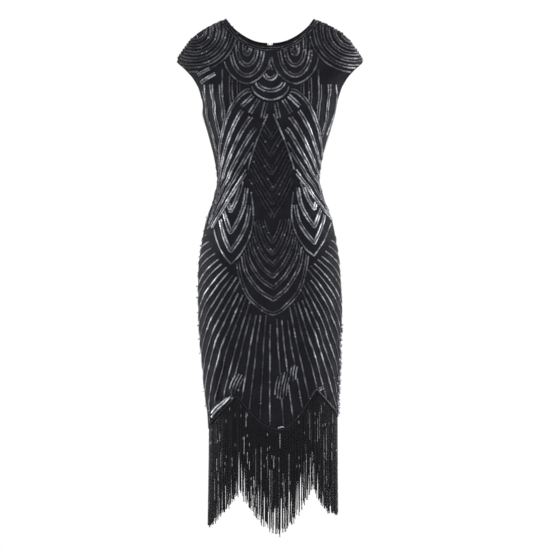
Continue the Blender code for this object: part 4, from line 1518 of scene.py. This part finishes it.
def makeFringe(name, side, node):
    half = float(fullRun(np.array([-0.9]), side)[0])
    count = int(2 * half / fringeStyle["spacing"])
    run = (np.arange(count) + 0.5) / count * 2 * half - half
    run += chance.normal(0, 0.0003, count)
    height = np.full(count, -0.9)
    for _ in range(4):
        u = placeOf(acrossOf(run, height, side), height)
        height = lowerEdge(hemShape, u)
    end = lowerEdge(fringeShape, u) + np.abs(chance.normal(0, fringeStyle["uneven"], count)) - 0.003
    top, normal, right = clothFrame(run, height + 0.0015, side)
    top = top - normal * fringeStyle["sunk"]
    flatNormal = unit(normal * (1, 1, 0))
    drift = np.convolve(chance.normal(0, 1, count + 12), np.ones(5) / 5, "same")[6:-6]
    spread = 0.35 + 0.65 * np.clip(1.25 - 1.6 * np.abs(u), 0, 1)
    swayAcross, swayInward = (fringeStyle["sway"] * fringeStyle[key] for key in ("swayAcross", "swayInward"))
    sideways = spread * (drift * fringeStyle["clump"] + chance.normal(0, swayAcross, count))
    inward = chance.normal(0, swayInward, count)
    bowAcross, bowInward = fringeStyle["bow"]
    pitch = beadStyle["length"] + beadStyle["gap"]
    places, frames, sizes, silvers = [], [], [], []
    threadPoints, threadFaces = [], []
    for k in range(count):
        drop = height[k] - end[k]
        beads = int(drop / pitch)

        def pointAt(down):
            share = down / fringeStyle["longest"]
            swung = right[k] * sideways[k] * share**bowAcross + flatNormal[k] * inward[k] * share**bowInward
            return top[k] - down * up + swung

        firstBead = fringeStyle["firstBead"] + chance.uniform(0, 0.5) * pitch
        downs = firstBead + pitch * (np.arange(beads) + 0.5)
        points = np.array([pointAt(down) for down in downs])
        axis = np.gradient(points, axis=0) + chance.normal(0, fringeStyle["axisUneven"], points.shape)
        axis = unit(axis)
        spin = chance.uniform(0, 2 * math.pi) + chance.normal(0, fringeStyle["spinUneven"], beads)
        first = unit(np.cross(axis, np.array([1.0, 0.2, 0.1])))
        second = np.cross(axis, first)
        turned = first * np.cos(spin)[:, None] + second * np.sin(spin)[:, None]
        frames.append(np.stack([turned, np.cross(axis, turned), axis], 1))
        places.append(points)
        sizes.append(chance.normal(1, fringeStyle["sizeUneven"], beads))
        # Silver-lined runs and single beads are placed as painted highlights, broken streaks of light down
        # the strands.
        silver = np.zeros(beads)
        for _ in range(chance.poisson(fringeStyle["silverRuns"])):
            begin = int(chance.integers(0, beads))
            length = int(chance.integers(1, 5) ** chance.uniform(1.0, 2.2))
            silver[begin : begin + length] = chance.uniform(*fringeStyle["runGlint"])
        dotted = chance.uniform(0, 1, beads) < fringeStyle["silverDots"]
        dots = np.where(dotted, chance.uniform(*fringeStyle["dotGlint"], beads), 0)
        silvers.append(np.maximum(silver * chance.uniform(0.3, 1.0, beads), dots))
        stops = np.linspace(0, downs[-1] + pitch * 0.55, fringeStyle["threadStops"])
        around = (right[k], flatNormal[k], beadStyle["thread"], fringeStyle["threadTurns"])
        rings = [ringAround(pointAt(down), *around) for down in stops]
        addTube(threadPoints, threadFaces, rings)
        behind = top[k] + right[k] * fringeStyle["spacing"] / 2 - flatNormal[k] * fringeStyle["liningSunk"]
        short = fringeStyle["liningShort"] * (0.6 + 0.7 * spread[k]) * chance.uniform(0.5, 1.6)
        stops = np.linspace(0, max(0.03, drop - short), fringeStyle["liningStops"])
        rings = []
        for down in stops:
            share = down / fringeStyle["longest"]
            middle = behind - down * up + right[k] * sideways[k] * 0.6 * share**bowAcross
            wide = fringeStyle["liningThread"] * (1.15 - 0.6 * (down == stops[-1]))
            turns = fringeStyle["liningTurns"]
            rings.append(ringAround(middle, right[k], flatNormal[k], wide, turns, fringeStyle["liningFlat"]))
        addTube(threadPoints, threadFaces, rings)
    beads = joinedCopies(
        name, beadShape, np.concatenate(places), np.concatenate(frames), np.concatenate(sizes), beadMaterial,
        silver=np.concatenate(silvers),
    )
    mesh = bpy.data.meshes.new(name + "Threads")
    mesh.from_pydata([tuple(point) for point in threadPoints], [], threadFaces)
    turnOutward(mesh)
    threads = linkPiece(name + "Threads", mesh, threadMaterial)
    for piece in (beads, threads):
        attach(piece, "dress")
    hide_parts(node)
    print(name, "has", count, "strands and", len(beads.data.polygons), "faces")
    return beads, threads


frontFringe = makeFringe("frontFringe", -1, "fringe_front")
backFringe = makeFringe("backFringe", 1, "fringe_back")


# Zip
zipStyle = {
    "pitch": 0.0015,
    "stem": (0.0012, 0.0007, 0.0007),
    "head": (0.0007, 1.55),  # its length, and how much wider it is
    "centre": 0.0011, "lift": 0.0007,  # of a tooth's middle, from the middle of the chain and from the skin
    "sliderHeight": -0.071, "sliderHalf": 0.0062,
    "parted": 0.0030, "partedOver": 0.0145,  # apart at the neck, and over what height
    "stitchOff": 0.0022, "stitchPitch": 0.0030, "stitchLength": 0.0021, "stitchRadius": 0.00024,
}


def modelTooth():
    clearSelection()
    bpy.ops.mesh.primitive_cube_add(size=1, location=(0, 0, 0))
    thing = bpy.context.object
    bpy.ops.object.mode_set(mode="EDIT")
    bpy.ops.transform.resize(value=zipStyle["stem"])
    bpy.ops.mesh.select_mode(type="FACE")
    selectFaces(thing, lambda face: face.normal.x > 0.9)
    length, wider = zipStyle["head"]
    bpy.ops.mesh.extrude_region_move(TRANSFORM_OT_translate={"value": (length * 0.4, 0, 0)})
    bpy.ops.transform.resize(value=(1, wider, 1.15))
    bpy.ops.mesh.extrude_region_move(TRANSFORM_OT_translate={"value": (length * 0.6, 0, 0)})
    bpy.ops.transform.resize(value=(1, 0.8, 0.85))
    bpy.ops.mesh.select_all(action="SELECT")
    bpy.ops.mesh.bevel(offset=0.00009, segments=1, affect="EDGES")
    bpy.ops.mesh.normals_make_consistent(inside=False)
    bpy.ops.object.mode_set(mode="OBJECT")
    return takeShape(thing)


def modelStitch():
    clearSelection()
    bpy.ops.mesh.primitive_cylinder_add(
        vertices=6, radius=zipStyle["stitchRadius"], depth=zipStyle["stitchLength"], end_fill_type="NGON"
    )
    thing = bpy.context.object
    bpy.ops.object.mode_set(mode="EDIT")
    bpy.ops.mesh.select_mode(type="FACE")
    for way in (-1, 1):  # the ends dip into the cloth
        selectFaces(thing, lambda face: face.normal.z * way > 0.9)
        dip = (0, -zipStyle["stitchRadius"] * 1.4, way * zipStyle["stitchRadius"])
        bpy.ops.mesh.extrude_region_move(TRANSFORM_OT_translate={"value": dip})
    bpy.ops.object.mode_set(mode="OBJECT")
    return takeShape(thing)


def makeTeeth():
    top = backNeck - 0.0015
    places, frames = [], []
    for sign in (-1, 1):
        start = top - (sign + 1) / 4 * zipStyle["pitch"]
        height = np.arange(start, bodyForm["zipEnd"] + 0.002, -zipStyle["pitch"])
        aboveSlider = height - zipStyle["sliderHeight"]
        height = height[np.abs(aboveSlider) > zipStyle["sliderHalf"]]
        aboveSlider = height - zipStyle["sliderHeight"] - zipStyle["sliderHalf"]
        above = np.clip(aboveSlider / zipStyle["partedOver"], 0, 1)
        base = skinPoint(0 * height, height, 1)
        out = skinNormal(base, 1)
        off = zipStyle["centre"] + zipStyle["parted"] * above
        inward = np.zeros_like(base)
        inward[:, 0] = -sign
        places.append(base + out * zipStyle["lift"] - inward * off[:, None])
        frames.append(np.stack([inward, np.cross(out, inward), out], 1))
    places, frames = np.concatenate(places), np.concatenate(frames)
    teeth = joinedCopies("zipTeeth", modelTooth(), places, frames, np.ones(len(places)), metalMaterial)
    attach(teeth, "dress")
    print("zip teeth:", len(places))


def makeStitches():
    places, frames = [], []
    for sign in (-1, 1):
        height = np.arange(backNeck - 0.004, bodyForm["zipEnd"] + 0.001, -zipStyle["stitchPitch"])
        across = sign * (backEdge(height) + zipStyle["stitchOff"])
        run = runOf(across, height, 1)
        point, normal, right = clothFrame(run, height, 1)
        along = unit(np.cross(normal, right))
        lift = bodyForm["seamGap"] / 2 + zipStyle["stitchRadius"] * 0.8
        places.append(point + normal * lift)
        frames.append(np.stack([np.cross(normal, along), normal, along], 1))
    places, frames = np.concatenate(places), np.concatenate(frames)
    sizes = np.ones(len(places))
    stitches = joinedCopies("zipStitches", modelStitch(), places, frames, sizes, threadMaterial)
    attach(stitches, "dress")


makeTeeth()
makeStitches()
for node, material in (
    ("zip_tape", tapeMaterial), ("zip_slider", metalMaterial), ("zip_pull_tab", metalMaterial),
):
    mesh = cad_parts[node].data
    mesh.materials.clear()
    mesh.materials.append(material)
print("zip finished")

# Camera, light and floor
floorFinish = {"dark": (0.80, 0.80, 0.80, 1), "light": (0.84, 0.84, 0.84, 1), "scale": 3.0, "roughness": 0.7}
studio = {
    "distance": 10.0,
    "frameHeight": 1.2398,
    "aim": (0.0124, -0.577),
    "floorDrop": 0.26,
    "floorSize": 5.4,
    "ambient": 0.30,
    "sky": (0.93, 0.95, 1.0, 1),
    "lightAim": (0, 0, -0.55),
    "lights": (
        # name, place, size, strength in watts
        ("keyLight", (-2.2, -3.4, 1.2), (1.8, 2.6), 95.0),
        ("fillLight", (2.6, -3.0, 0.2), (1.6, 2.6), 70.0),
        ("topLight", (0.0, -0.6, 2.6), (2.4, 2.0), 45.0),
        ("rightRim", (2.6, 1.4, -0.3), (0.8, 2.6), 68.0),
        ("leftRim", (-2.6, 1.4, -0.3), (0.8, 2.6), 75.0),
        ("backLight", (0.6, 3.8, 0.6), (2.4, 2.4), 70.0),
    ),
}


def makeStudio():
    aimX, aimZ = studio["aim"]
    camera = bpy.data.objects.new("pictureCamera", bpy.data.cameras.new("pictureCamera"))
    scene.collection.objects.link(camera)
    camera.location = (aimX, -studio["distance"], aimZ)
    camera.rotation_euler = (math.radians(90), 0, 0)
    camera.data.sensor_width = 36
    camera.data.lens = 36 * studio["distance"] / studio["frameHeight"]
    camera.data.clip_end = 100
    scene.camera = camera
    target = Vector(studio["lightAim"])
    for name, place, (wide, tall), watts in studio["lights"]:
        lamp = bpy.data.lights.new(name, "AREA")
        lamp.shape = "RECTANGLE"
        lamp.size, lamp.size_y = wide, tall
        lamp.energy = watts
        thing = bpy.data.objects.new(name, lamp)
        scene.collection.objects.link(thing)
        thing.location = place
        thing.rotation_euler = (target - Vector(place)).to_track_quat("-Z", "Y").to_euler()
        thing.visible_camera = False
    clearSelection()
    floorHeight = cadLow.z - studio["floorDrop"]
    bpy.ops.mesh.primitive_plane_add(size=studio["floorSize"], location=(0, 0, floorHeight))
    floor = bpy.context.object
    floor.name = "studioFloor"
    made, tree, shader = newMaterial("paleFloor")
    tone, _ = unevenTone(tree, objectPlace(tree), floorFinish)
    setInputs(tree, shader, {"Base Color": tone, "Roughness": floorFinish["roughness"]})
    floor.data.materials.append(made)
    world = bpy.data.worlds.new("studioWorld")
    world.use_nodes = True
    scene.world = world
    tree = world.node_tree
    plain = tree.nodes["Background"]
    setInputs(tree, plain, {"Color": (1, 1, 1, 1), "Strength": 1.0})
    dim = addNode(tree, "ShaderNodeBackground", {"Color": studio["sky"], "Strength": studio["ambient"]})
    seen = addNode(tree, "ShaderNodeLightPath").outputs["Is Camera Ray"]
    mix = addNode(tree, "ShaderNodeMixShader", {0: seen, 1: dim.outputs[0], 2: plain.outputs[0]})
    tree.links.new(mix.outputs[0], tree.nodes["World Output"].inputs["Surface"])
    scene.view_settings.view_transform = "Standard"


makeStudio()
print("studio set")
